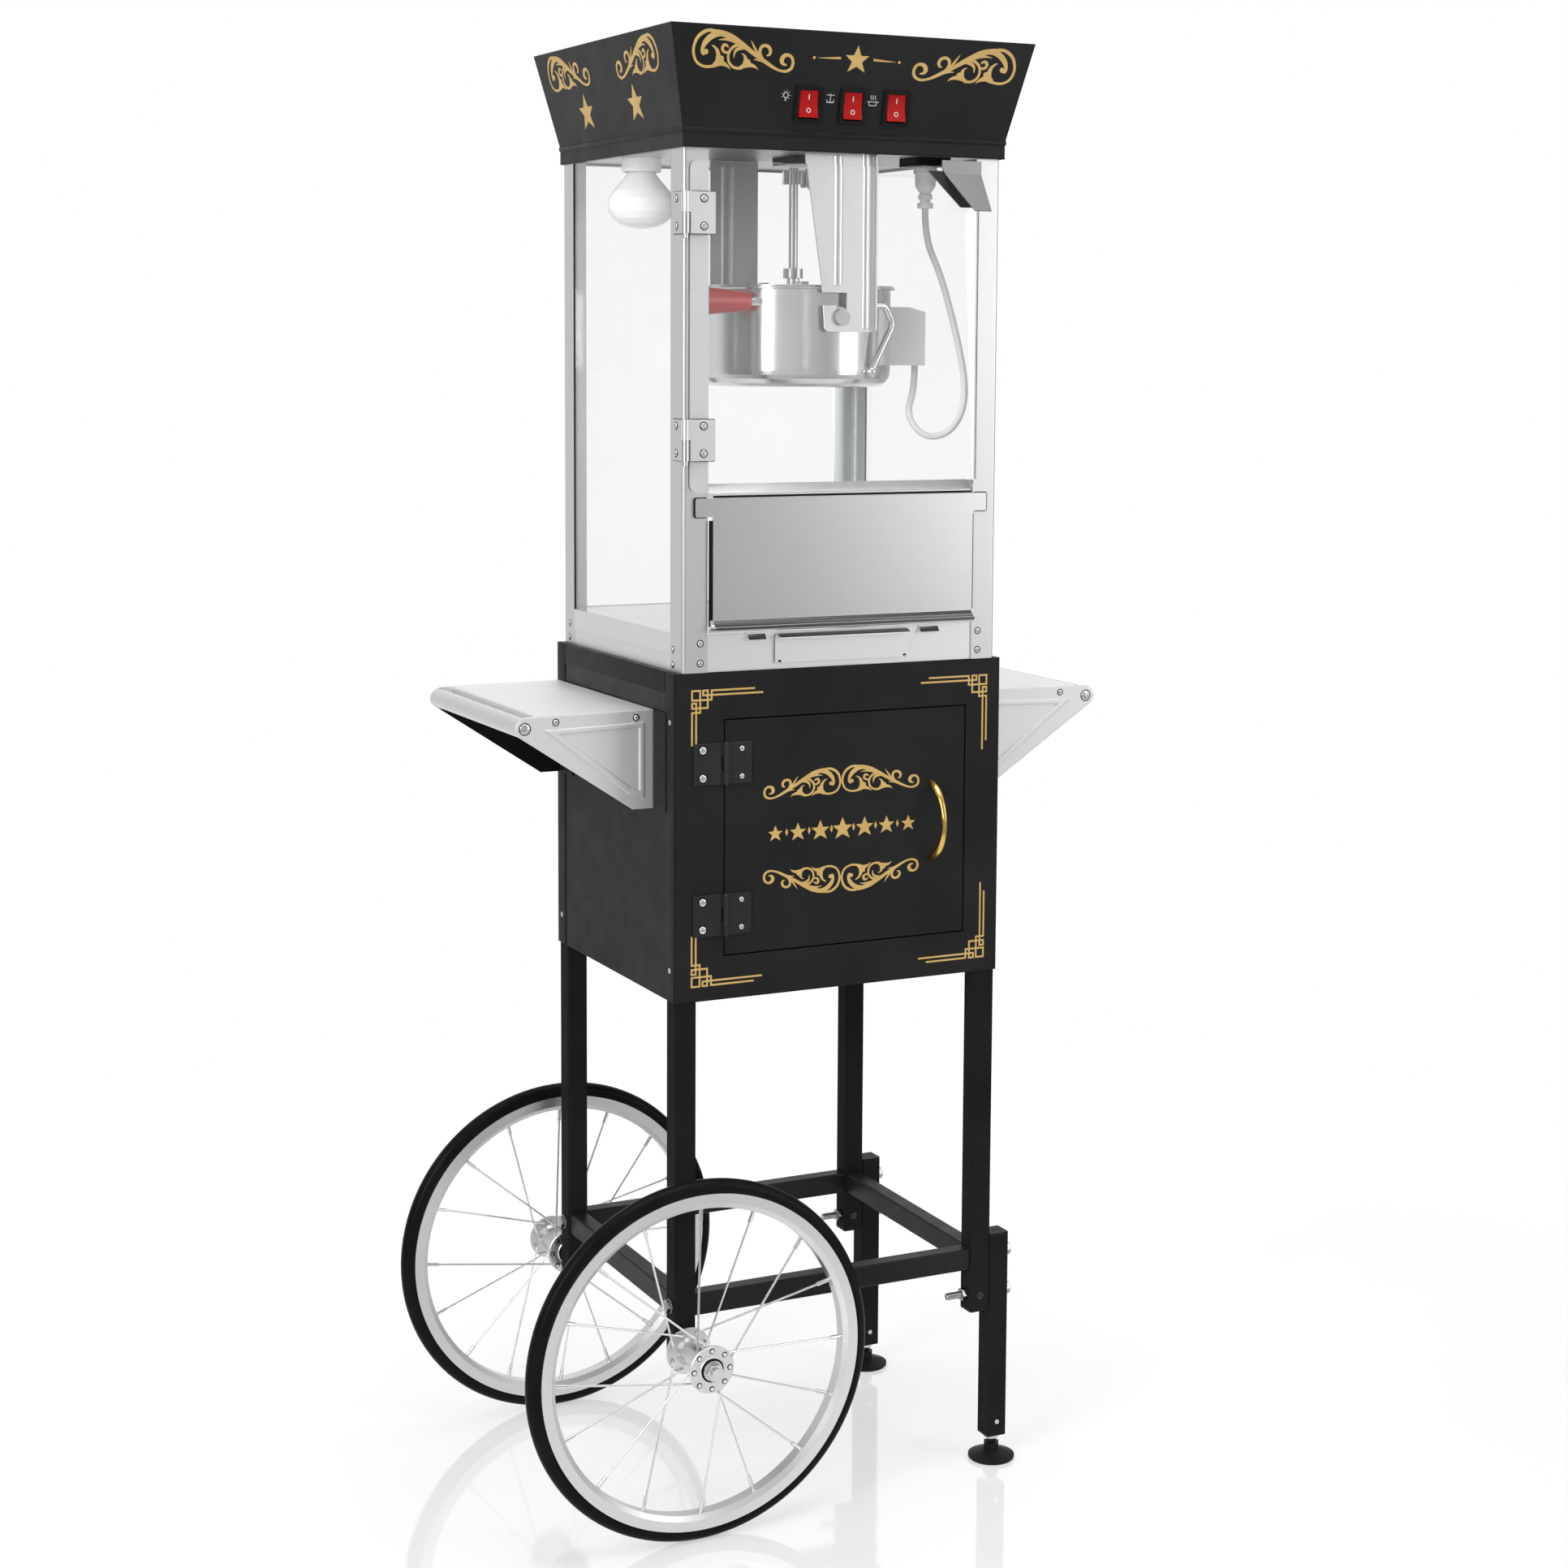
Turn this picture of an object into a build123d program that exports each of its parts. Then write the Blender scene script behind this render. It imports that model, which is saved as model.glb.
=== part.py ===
"""Popcorn machine on a two-wheeled cart: a storage cabinet on square-tube legs, a glazed popping
case with a tilting kettle on top of it, and a flared canopy with three rocker switches.
Millimetres, +Z up, front towards -Y. The origin is on the floor, below the middle of the object's
box. The dimensions below are measured from the middle of the cabinet's front face at floor level,
and CX, CY carry them to that origin."""

import os
from math import acos, cos, pi, radians, sin, sqrt, tan

from build123d import *

os.makedirs("parts", exist_ok=True)

# ---- driving dimensions -------------------------------------------------------------------------
CX, CY = 13.16, -173.5  # from the cabinet's front middle to the middle of the whole box

# cart frame
CAB_W, CAB_D = 400.0, 347.0  # cabinet, outside
CAB_Z0, CAB_Z1 = 587.5, 946.8
SHEET = 1.2
TUBE = 25.0
TUBE_WALL = 1.5
LEG_OUT = 198.7  # outer face of a leg
LEG_Y0 = 1.4  # front face of a front leg
LEG_Z0, LEG_Z1 = 187.0, 945.5
RAIL_Z0, RAIL_Z1 = 234.0, 259.0
RAIL_T = 20.0
EXT_Z0, EXT_Z1 = 33.0, 270.0
BOLT_R = 4.0
BOLT_Z = (203.0, 250.0)
RAIL_BOLT_Z = 246.5
FOOT_R, FOOT_TALL, STEM_R = 27.0, 9.0, 5.0

# wheels
WHEEL_R = 200.95
WHEEL_X, WHEEL_Z = -186.2, 200.95
WHEEL_Y = (-37.3, 384.3)
TYRE_RING, TYRE_R = 191.0, 9.95
RIM_IN, RIM_OUT, RIM_HALF = 170.5, 187.0, 11.3
AXLE_R = 6.0
HUB_HALF = 33.5
FLANGE_R, FLANGE_HOLES_R = 26.0, 21.0
SPOKE_R = 1.2
SPOKES = 8  # for each flange

# cabinet door
DOOR_X0, DOOR_X1, DOOR_Z0, DOOR_Z1 = -141.0, 155.5, 636.6, 893.9
DOOR_GAP = 1.5
DOOR_DEEP = 15.0
CAB_PIN = (-141.5, -3.3)
CAB_HINGE_Z = (659.0, 825.0)  # lower end of each hinge
CAB_HINGE_TALL = 45.0
PULL_X, PULL_Z0, PULL_Z1, PULL_OUT = 115.3, 723.4, 808.4, 27.3

# side shelves
SHELF_Y0, SHELF_Y1 = 55.0, 338.0
SHELF_Z = 901.0
SHELF_TIP = (350.0, 889.0)
SHELF_BAR_R = 11.0
BRACKET_BOTTOM_Z = 794.0

# popping case
CASE_W2, CASE_D = 192.0, 345.0
CASE_Z0, CASE_Z1 = 946.8, 1506.0
POST_FRONT, POST_SIDE, POST_T = 29.5, 31.0, 1.2
BASE_Z1 = 988.0
DECK_Z = 986.0
GLASS = 3.0
DRAWER_W2, DRAWER_Z0, DRAWER_Z1, DRAWER_DEEP = 78.0, 956.3, 980.0, 200.0

# serving flap
FLAP_Y, FLAP_Z = -3.0, 992.0  # its hinge line
FLAP_TOP = 1133.7
FLAP_X0, FLAP_X1 = -157.6, 161.5

# glass door
GDOOR_X0, GDOOR_X1, GDOOR_Z0, GDOOR_Z1 = -186.0, 163.0, 1141.0, 1489.6
GDOOR_Y0, GDOOR_Y1 = -5.2, -1.2
G_PIN = (-191.0, -5.5)
G_HINGE_Z = (1174.0, 1413.0)
G_HINGE_TALL = 44.0

# canopy
CAN_W2, CAN_Y0, CAN_Y1 = 194.5, -5.9, 347.6
CAN_Z0, CAN_BEND, CAN_Z1 = 1502.9, 1521.0, 1627.7
CAN_FLARE, CAN_T = 23.6, 1.5
SWITCH_X = (-52.4, 0.4, 53.2)
SWITCH_Z = 1552.0
ROCKER_TILT = 8.0

# kettle
KX, KY = 0.0, 130.0
POT_R, POT_Z0, POT_Z1, RIM_R = 110.0, 1251.0, 1361.0, 115.0
PIVOT_Z = 1327.5
NECK_R = 6.45
HANGER_T = 2.0
HANGER_FRONT_Y = 9.0
GRIP_Y, GRIP_Z = 55.0, 1344.0
BOX_TURN = 25.0  # heater box, degrees towards the front from +X
SHAFT_R = 5.0
GEAR_N, GEAR_M = 16, 1.4
GEAR_Z0, GEAR_Z1 = 1476.0, 1491.0
LID_PIN = (-14.0, 1364.9)

# lamp, plug and cord
LAMP = (-138.0, 235.0)
PLUG = (135.5, 70.0)
CORD_R = 3.75


# ---- profile helpers ----------------------------------------------------------------------------
def slab(x0, x1, y0, y1, z0, z1, mode=Mode.ADD, r=0.0):
    """An upright block with its outline in plan."""
    with BuildSketch(Plane.XY.offset(z0)) as s:
        with Locations((CX + (x0 + x1) / 2, CY + (y0 + y1) / 2)):
            if r:
                RectangleRounded(x1 - x0, y1 - y0, r)
            else:
                Rectangle(x1 - x0, y1 - y0)
    extrude(s.sketch, amount=z1 - z0, mode=mode)


def front(x0, x1, z0, z1, y0, y1, mode=Mode.ADD, r=0.0):
    """A block with its outline in the front view."""
    with BuildSketch(Plane.XZ.offset(-(CY + y1))) as s:
        with Locations((CX + (x0 + x1) / 2, (z0 + z1) / 2)):
            if r:
                RectangleRounded(x1 - x0, z1 - z0, r)
            else:
                Rectangle(x1 - x0, z1 - z0)
    extrude(s.sketch, amount=y1 - y0, mode=mode)


def side(y0, y1, z0, z1, x0, x1, mode=Mode.ADD, r=0.0):
    """A block with its outline in the side view."""
    with BuildSketch(Plane.YZ.offset(CX + x0)) as s:
        with Locations((CY + (y0 + y1) / 2, (z0 + z1) / 2)):
            if r:
                RectangleRounded(y1 - y0, z1 - z0, r)
            else:
                Rectangle(y1 - y0, z1 - z0)
    extrude(s.sketch, amount=x1 - x0, mode=mode)


def rod_x(y, z, r, x0, x1, mode=Mode.ADD, taper=0.0):
    with BuildSketch(Plane.YZ.offset(CX + x0)) as s:
        with Locations((CY + y, z)):
            Circle(r)
    extrude(s.sketch, amount=x1 - x0, taper=taper, mode=mode)


def rod_y(x, z, r, y0, y1, mode=Mode.ADD, taper=0.0):
    """Runs from y1 towards the front, to y0."""
    with BuildSketch(Plane.XZ.offset(-(CY + y1))) as s:
        with Locations((CX + x, z)):
            Circle(r)
    extrude(s.sketch, amount=y1 - y0, taper=taper, mode=mode)


def rod_z(x, y, r, z0, z1, mode=Mode.ADD, taper=0.0):
    with BuildSketch(Plane.XY.offset(z0)) as s:
        with Locations((CX + x, CY + y)):
            Circle(r)
    extrude(s.sketch, amount=z1 - z0, taper=taper, mode=mode)


def hex_x(y, z, across, x0, x1, bore=0.0):
    with BuildSketch(Plane.YZ.offset(CX + x0)) as s:
        with Locations((CY + y, z)):
            RegularPolygon(across / sqrt(3), 6)
            if bore:
                Circle(bore, mode=Mode.SUBTRACT)
    extrude(s.sketch, amount=x1 - x0)


def hex_y(x, z, across, y0, y1, bore=0.0):
    with BuildSketch(Plane.XZ.offset(-(CY + y1))) as s:
        with Locations((CX + x, z)):
            RegularPolygon(across / sqrt(3), 6)
            if bore:
                Circle(bore, mode=Mode.SUBTRACT)
    extrude(s.sketch, amount=y1 - y0)


def ring_y(x, z, r, bore, y0, y1):
    with BuildSketch(Plane.XZ.offset(-(CY + y1))) as s:
        with Locations((CX + x, z)):
            Circle(r)
            Circle(bore, mode=Mode.SUBTRACT)
    extrude(s.sketch, amount=y1 - y0)


def poly_xy(pts, z0, z1, mode=Mode.ADD):
    with BuildSketch(Plane.XY.offset(z0)) as s:
        with BuildLine():
            Polyline(*[(CX + x, CY + y) for x, y in pts], close=True)
        make_face()
    extrude(s.sketch, amount=z1 - z0, mode=mode)


def poly_xz(pts, y0, y1, mode=Mode.ADD):
    with BuildSketch(Plane.XZ.offset(-(CY + y1))) as s:
        with BuildLine():
            Polyline(*[(CX + x, z) for x, z in pts], close=True)
        make_face()
    extrude(s.sketch, amount=y1 - y0, mode=mode)


def poly_yz(pts, x0, x1, mode=Mode.ADD):
    with BuildSketch(Plane.YZ.offset(CX + x0)) as s:
        with BuildLine():
            Polyline(*[(CY + y, z) for y, z in pts], close=True)
        make_face()
    extrude(s.sketch, amount=x1 - x0, mode=mode)


def turned_z(x, y, profile, mode=Mode.ADD):
    """A turned piece about an upright axis; the profile is (radius, z)."""
    with BuildSketch(Plane(origin=(CX + x, CY + y, 0), x_dir=(1, 0, 0), z_dir=(0, -1, 0))) as s:
        with BuildLine():
            Polyline(*profile, close=True)
        make_face()
    revolve(s.sketch, axis=Axis((CX + x, CY + y, 0), (0, 0, 1)), mode=mode)


def turned_y(x, z, profile, mode=Mode.ADD):
    """A turned piece about an axis along Y; the profile is (radius, y)."""
    with BuildSketch(Plane(origin=(CX + x, CY, z), x_dir=(1, 0, 0), z_dir=(0, 0, 1))) as s:
        with BuildLine():
            Polyline(*profile, close=True)
        make_face()
    revolve(s.sketch, axis=Axis((CX + x, CY, z), (0, 1, 0)), mode=mode)


def turned_x(y, z, profile, mode=Mode.ADD):
    """A turned piece about an axis along X; the profile is (x, radius)."""
    with BuildSketch(Plane(origin=(CX, CY + y, z), x_dir=(1, 0, 0), z_dir=(0, -1, 0))) as s:
        with BuildLine():
            Polyline(*profile, close=True)
        make_face()
    revolve(s.sketch, axis=Axis((CX, CY + y, z), (1, 0, 0)), mode=mode)


def strut(p, q, r, r_end=None):
    """A round bar between two points."""
    a, b = Vector(CX + p[0], CY + p[1], p[2]), Vector(CX + q[0], CY + q[1], q[2])
    with BuildSketch(Plane(origin=a, z_dir=(b - a).normalized())) as s:
        Circle(r)
    extrude(s.sketch, amount=(b - a).length)


def spoke_bar(p, q, r, r_nipple, nipple):
    """A spoke from p to q, thicker over the nipple at its far end."""
    a, b = Vector(CX + p[0], CY + p[1], p[2]), Vector(CX + q[0], CY + q[1], q[2])
    along, far = (b - a).normalized(), (b - a).length
    with BuildSketch(Plane(origin=a, x_dir=along, z_dir=along.cross(Vector(0, 1, 0)).normalized())) as s:
        with BuildLine():
            Polyline((0, 0), (0, r), (far - nipple, r), (far - nipple, r_nipple), (far, r_nipple), (far, 0), close=True)
        make_face()
    revolve(s.sketch, axis=Axis(a, along))


def head_x(y, z, x, out, r=3.4, tall=1.8):
    """A screw head on a side face; out is -1 or +1."""
    if out > 0:
        rod_x(y, z, r, x, x + tall, taper=22)
    else:
        with BuildSketch(Plane(origin=(CX + x, CY + y, z), x_dir=(0, -1, 0), z_dir=(-1, 0, 0))) as s:
            Circle(r)
        extrude(s.sketch, amount=tall, taper=22)


def head_y(x, z, y, out, r=3.4, tall=1.8):
    """A screw head on a front (out -1) or rear (out +1) face."""
    with BuildSketch(Plane(origin=(CX + x, CY + y, z), x_dir=(-out, 0, 0), z_dir=(0, out, 0))) as s:
        Circle(r)
    extrude(s.sketch, amount=tall, taper=22)


def gear_outline(n, m, phase, slack):
    """Corners of a spur gear with involute flanks, thinned by slack at the pitch circle."""
    rp = m * n / 2
    rb = rp * cos(radians(20))
    ra, rf = rp + 0.9 * m, rp - 1.2 * m

    def inv(a):
        return tan(a) - a

    half_p = pi / (2 * n) - slack / (2 * rp)
    radii = [max(rb, rf) + (ra - max(rb, rf)) * k / 4 for k in range(5)]
    halves = [half_p + inv(radians(20)) - inv(acos(min(1.0, rb / r))) for r in radii]
    pts = []
    for i in range(n):
        c = phase + 2 * pi * i / n
        flank = [(rf, halves[0])] + list(zip(radii, halves))
        for r, h in flank:
            pts.append((r * cos(c - h), r * sin(c - h)))
        for r, h in reversed(flank):
            pts.append((r * cos(c + h), r * sin(c + h)))
    return pts


def save(piece, label):
    piece.part.label = label
    export_step(piece.part, f"parts/{label}.step")


LEG_IN = LEG_OUT - TUBE
LEG_X = (LEG_OUT + LEG_IN) / 2
LEG_ROWS = ((LEG_Y0, LEG_Y0 + TUBE), (CAB_D - LEG_Y0 - TUBE, CAB_D - LEG_Y0))
ROW_MID = tuple((a + b) / 2 for a, b in LEG_ROWS)

# ---- cart frame ---------------------------------------------------------------------------------
with BuildPart() as cart_legs:
    for y0, y1 in LEG_ROWS:
        for x0, x1 in ((-LEG_OUT, -LEG_IN), (LEG_IN, LEG_OUT)):
            slab(x0, x1, y0, y1, LEG_Z0, LEG_Z1, r=2.5)
            slab(x0 + TUBE_WALL, x1 - TUBE_WALL, y0 + TUBE_WALL, y1 - TUBE_WALL, LEG_Z0, LEG_Z1, Mode.SUBTRACT, r=1.0)
        rod_y(-LEG_X, WHEEL_Z, AXLE_R + 0.1, y0 - 1, y1 + 1, Mode.SUBTRACT)
        rod_x((y0 + y1) / 2, RAIL_BOLT_Z, BOLT_R + 0.1, -LEG_OUT - 1, -LEG_IN + 1, Mode.SUBTRACT)
        for z in BOLT_Z:
            rod_x((y0 + y1) / 2, z, BOLT_R + 0.1, LEG_IN - 1, LEG_OUT + 1, Mode.SUBTRACT)
save(cart_legs, "cart_legs")

RAIL_Y = ((LEG_Y0 + TUBE - RAIL_T - 1.5, LEG_Y0 + TUBE - 1.5), (CAB_D - LEG_Y0 - TUBE + 1.5, CAB_D - LEG_Y0 - TUBE + RAIL_T + 1.5))
with BuildPart() as lower_rails:
    for y0, y1 in RAIL_Y:
        side(y0, y1, RAIL_Z0, RAIL_Z1, -LEG_IN, LEG_IN, r=2.0)
        side(y0 + 1.5, y1 - 1.5, RAIL_Z0 + 1.5, RAIL_Z1 - 1.5, -LEG_IN, LEG_IN, Mode.SUBTRACT, r=0.8)
    for x0 in (-LEG_X - RAIL_T / 2, LEG_X - RAIL_T / 2):
        front(x0, x0 + RAIL_T, RAIL_Z0, RAIL_Z1, LEG_ROWS[0][1], LEG_ROWS[1][0], r=2.0)
        front(x0 + 1.5, x0 + RAIL_T - 1.5, RAIL_Z0 + 1.5, RAIL_Z1 - 1.5, LEG_ROWS[0][1], LEG_ROWS[1][0], Mode.SUBTRACT, r=0.8)
save(lower_rails, "lower_rails")

EXT_X0, EXT_X1 = LEG_OUT, LEG_OUT + TUBE
EXT_X = (EXT_X0 + EXT_X1) / 2
with BuildPart() as extension_legs:
    for y0, y1 in LEG_ROWS:
        slab(EXT_X0, EXT_X1, y0, y1, EXT_Z0, EXT_Z1, r=2.5)
        slab(EXT_X0 + TUBE_WALL, EXT_X1 - TUBE_WALL, y0 + TUBE_WALL, y1 - TUBE_WALL, EXT_Z0, EXT_Z1, Mode.SUBTRACT, r=1.0)
        for z in BOLT_Z:
            rod_x((y0 + y1) / 2, z, BOLT_R + 0.1, EXT_X0 - 1, EXT_X1 + 1, Mode.SUBTRACT)
save(extension_legs, "extension_legs")

with BuildPart() as leg_caps:
    for (y0, y1), ym in zip(LEG_ROWS, ROW_MID):
        # closed cap on top of the extension leg
        slab(EXT_X0, EXT_X1, y0, y1, EXT_Z1, EXT_Z1 + 4, r=2.5)
        slab(EXT_X - 10.7, EXT_X + 10.7, ym - 10.7, ym + 10.7, EXT_Z1 - 11, EXT_Z1, r=1.0)
        # threaded insert at its foot
        slab(EXT_X0, EXT_X1, y0, y1, EXT_Z0 - 3, EXT_Z0, r=2.5)
        slab(EXT_X - 10.7, EXT_X + 10.7, ym - 10.7, ym + 10.7, EXT_Z0, EXT_Z0 + 17, r=1.0)
        rod_z(EXT_X, ym, STEM_R + 0.05, EXT_Z0 - 4, EXT_Z0 + 18, Mode.SUBTRACT)
        # plugs in the main legs
        for xm in (-LEG_X, LEG_X):
            slab(xm - TUBE / 2, xm + TUBE / 2, y0, y1, LEG_Z0 - 3, LEG_Z0, r=2.5)
            slab(xm - 10.7, xm + 10.7, ym - 10.7, ym + 10.7, LEG_Z0, LEG_Z0 + 6, r=1.0)
save(leg_caps, "leg_caps")

with BuildPart() as frame_bolts:
    for ym in ROW_MID:
        for z, x_end in ((BOLT_Z[0], 160.0), (BOLT_Z[1], 177.0)):
            rod_x(ym, z, BOLT_R, x_end, EXT_X1)
            rod_x(ym, z, 8.0, EXT_X1, EXT_X1 + 1.6)
            hex_x(ym, z, 13.0, EXT_X1 + 1.6, EXT_X1 + 7.0)
        hex_x(ym, BOLT_Z[0], 13.0, LEG_IN - 6.5, LEG_IN, bore=BOLT_R + 0.05)
        rod_x(ym, RAIL_BOLT_Z, BOLT_R, -LEG_OUT, -LEG_IN + 6)
        rod_x(ym, RAIL_BOLT_Z, 8.0, -LEG_OUT - 1.6, -LEG_OUT)
        hex_x(ym, RAIL_BOLT_Z, 13.0, -LEG_OUT - 7.0, -LEG_OUT - 1.6)
save(frame_bolts, "frame_bolts")

for name, ym in (("front_foot", ROW_MID[0]), ("rear_foot", ROW_MID[1])):
    with BuildPart() as foot:
        turned_z(EXT_X, ym, [(0, 0), (FOOT_R - 1.5, 0), (FOOT_R, 1.5), (FOOT_R, 4.5), (15, FOOT_TALL), (9, FOOT_TALL + 2), (0, FOOT_TALL + 2)])
        rod_z(EXT_X, ym, STEM_R, FOOT_TALL + 2, 62)
        with BuildSketch(Plane.XY.offset(FOOT_TALL + 2)) as nut:
            with Locations((CX + EXT_X, CY + ym)):
                RegularPolygon(17.0 / sqrt(3), 6)
        extrude(nut.sketch, amount=8)
    save(foot, name)

# ---- wheels and axles ---------------------------------------------------------------------------
with BuildPart() as wheel_axles:
    for out, ym, y_leg in ((-1, WHEEL_Y[0], LEG_ROWS[0]), (1, WHEEL_Y[1], LEG_ROWS[1])):
        near = y_leg[0] if out < 0 else y_leg[1]  # leg face towards the wheel
        far = y_leg[1] if out < 0 else y_leg[0]
        tip, hub_out, hub_in = ym + out * 46.5, ym + out * (HUB_HALF + 0.6), ym - out * (HUB_HALF + 0.6)

        def span(a, b):
            return (min(a, b), max(a, b))

        rod_y(WHEEL_X, WHEEL_Z, AXLE_R, *span(tip, far - out * 9))
        ring_y(WHEEL_X, WHEEL_Z, 11.0, AXLE_R + 0.04, *span(hub_out, hub_out + out * 1.6))
        hex_y(WHEEL_X, WHEEL_Z, 17.0, *span(hub_out + out * 1.6, hub_out + out * 9), bore=AXLE_R + 0.04)
        ring_y(WHEEL_X, WHEEL_Z, 10.0, AXLE_R + 0.04, *span(hub_in, near))
        hex_y(WHEEL_X, WHEEL_Z, 17.0, *span(far, far - out * 7), bore=AXLE_R + 0.04)
save(wheel_axles, "wheel_axles")

for name, ym in (("front", WHEEL_Y[0]), ("rear", WHEEL_Y[1])):
    hub_plane = Plane(origin=(CX + WHEEL_X, CY + ym, WHEEL_Z), x_dir=(1, 0, 0), z_dir=(0, 0, 1))
    hub_axis = Axis((CX + WHEEL_X, CY + ym, WHEEL_Z), (0, 1, 0))
    with BuildPart() as tyre:
        with BuildSketch(hub_plane):
            with Locations((TYRE_RING, 0)):
                Circle(TYRE_R)
        revolve(axis=hub_axis)
    save(tyre, f"{name}_tyre")

    with BuildPart() as rim:
        with BuildSketch(hub_plane):
            with BuildLine():
                Polyline((RIM_IN, -7), (RIM_IN, 7), (176, RIM_HALF), (RIM_OUT, RIM_HALF), (RIM_OUT, -RIM_HALF), (176, -RIM_HALF), close=True)
            make_face()
            with Locations((TYRE_RING, 0)):
                Circle(TYRE_R + 0.05, mode=Mode.SUBTRACT)
        revolve(axis=hub_axis)
    save(rim, f"{name}_rim")

    with BuildPart() as hub:
        turned_y(
            WHEEL_X,
            WHEEL_Z,
            [
                (AXLE_R + 0.06, ym - HUB_HALF), (13.5, ym - HUB_HALF), (14.5, ym - 32.5), (FLANGE_R - 0.8, ym - 32.5), (FLANGE_R, ym - 31.7),
                (FLANGE_R, ym - 29.5), (15.5, ym - 28.5), (13, ym - 24), (13, ym + 24), (15.5, ym + 28.5), (FLANGE_R, ym + 29.5),
                (FLANGE_R, ym + 31.7), (FLANGE_R - 0.8, ym + 32.5), (14.5, ym + 32.5), (13.5, ym + HUB_HALF), (AXLE_R + 0.06, ym + HUB_HALF),
            ],
        )
        for k in range(2 * SPOKES):
            flange = -1 if k < SPOKES else 1
            a = radians(45 * k + (22.5 if flange > 0 else 0))
            rod_y(WHEEL_X + FLANGE_HOLES_R * cos(a), WHEEL_Z + FLANGE_HOLES_R * sin(a), SPOKE_R + 0.5, ym + flange * 31 - 3, ym + flange * 31 + 3, Mode.SUBTRACT)
    save(hub, f"{name}_hub")

    with BuildPart() as spokes:
        for flange, turn in ((-1, 0.0), (1, 22.5)):
            for k in range(SPOKES):
                lead = k % 2 == 0
                a_rim = radians(45 * k + turn)
                a_hub = a_rim + radians(45 if lead else -45)
                y_hub = ym + flange * (27.2 if lead else 24.4)
                p = (WHEEL_X + FLANGE_HOLES_R * cos(a_hub), y_hub, WHEEL_Z + FLANGE_HOLES_R * sin(a_hub))
                q = (WHEEL_X + (RIM_IN + 0.4) * cos(a_rim), ym + flange * 2.5, WHEEL_Z + (RIM_IN + 0.4) * sin(a_rim))
                spoke_bar(p, q, SPOKE_R, 2.2, 15.0)
                # bent end through the flange, with its head outside
                ends = (y_hub - flange * 1.4, ym + flange * 33.4)
                rod_y(p[0], p[2], SPOKE_R + 0.25, min(ends), max(ends))
                ends = (ym + flange * 32.6, ym + flange * 33.4)
                rod_y(p[0], p[2], SPOKE_R + 1.0, min(ends), max(ends))
    save(spokes, f"{name}_spokes")

# ---- cabinet ------------------------------------------------------------------------------------
HALF_W = CAB_W / 2
with BuildPart() as cabinet_front:
    front(-HALF_W, HALF_W, CAB_Z0, CAB_Z1, 0, SHEET)
    for x0 in (-HALF_W, HALF_W - SHEET):
        side(0, 25, CAB_Z0, CAB_Z1, x0, x0 + SHEET)
    front(DOOR_X0 - DOOR_GAP, DOOR_X1 + DOOR_GAP, DOOR_Z0 - DOOR_GAP, DOOR_Z1 + DOOR_GAP, -1, SHEET + 1, Mode.SUBTRACT)
save(cabinet_front, "cabinet_front")

with BuildPart() as cabinet_panels:
    for x0 in (-HALF_W, HALF_W - SHEET):
        side(25.6, CAB_D - 25.6, CAB_Z0, 899, x0, x0 + SHEET)
    front(-HALF_W, HALF_W, CAB_Z0, CAB_Z1, CAB_D - SHEET, CAB_D)
    for x0 in (-HALF_W, HALF_W - SHEET):
        side(CAB_D - 25, CAB_D, CAB_Z0, CAB_Z1, x0, x0 + SHEET)
    slab(-LEG_OUT, LEG_OUT, LEG_ROWS[0][1] + 0.3, LEG_ROWS[1][0] - 0.3, 590, 590 + SHEET)
    slab(-LEG_IN + 0.3, LEG_IN - 0.3, SHEET + 0.2, CAB_D - SHEET - 0.2, 590, 590 + SHEET)
save(cabinet_panels, "cabinet_panels")

with BuildPart() as cabinet_top_tray:
    slab(-HALF_W, HALF_W, 25.6, CAB_D - 25.6, CAB_Z1 - SHEET, CAB_Z1)
    slab(-LEG_OUT, LEG_OUT, SHEET + 0.1, CAB_D - SHEET - 0.1, CAB_Z1 - SHEET, CAB_Z1)
    for x0 in (-HALF_W, HALF_W - SHEET):
        side(25.6, CAB_D - 25.6, 902, CAB_Z1, x0, x0 + SHEET)
save(cabinet_top_tray, "cabinet_top_tray")

px, py = CAB_PIN
with BuildPart() as cabinet_hinge_leaves:
    for z0 in CAB_HINGE_Z:
        z1 = z0 + CAB_HINGE_TALL
        front(-179, px - 3.7, z0, z1, -1.6, 0, r=1.5)
        for a, b in ((z0, z0 + 14.8), (z1 - 14.8, z1)):
            slab(px - 3.9, px, -1.6, -0.1, a, b)
            rod_z(px, py, 3.2, a, b)
            rod_z(px, py, 1.8, a - 1, b + 1, Mode.SUBTRACT)
        rod_z(px, py, 1.78, z0 - 1.2, z1 + 1.2)
        for zz in (z0 - 1.2, z1):
            rod_z(px, py, 2.6, zz, zz + 1.2)
save(cabinet_hinge_leaves, "cabinet_hinge_leaves")

with BuildPart() as cabinet_door:
    front(DOOR_X0, DOOR_X1, DOOR_Z0, DOOR_Z1, 0, DOOR_DEEP)
    front(DOOR_X0 + SHEET, DOOR_X1 - SHEET, DOOR_Z0 + SHEET, DOOR_Z1 - SHEET, SHEET, DOOR_DEEP, Mode.SUBTRACT)
save(cabinet_door, "cabinet_door")

with BuildPart() as cabinet_door_leaves:
    for z0 in CAB_HINGE_Z:
        z1 = z0 + CAB_HINGE_TALL
        front(px + 3.7, -110, z0, z1, -1.6, 0, r=1.5)
        slab(px, px + 3.9, -1.6, -0.1, z0 + 15.2, z1 - 15.2)
        rod_z(px, py, 3.2, z0 + 15.2, z1 - 15.2)
        rod_z(px, py, 1.84, z0 + 14, z1 - 14, Mode.SUBTRACT)
save(cabinet_door_leaves, "cabinet_door_leaves")

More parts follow.
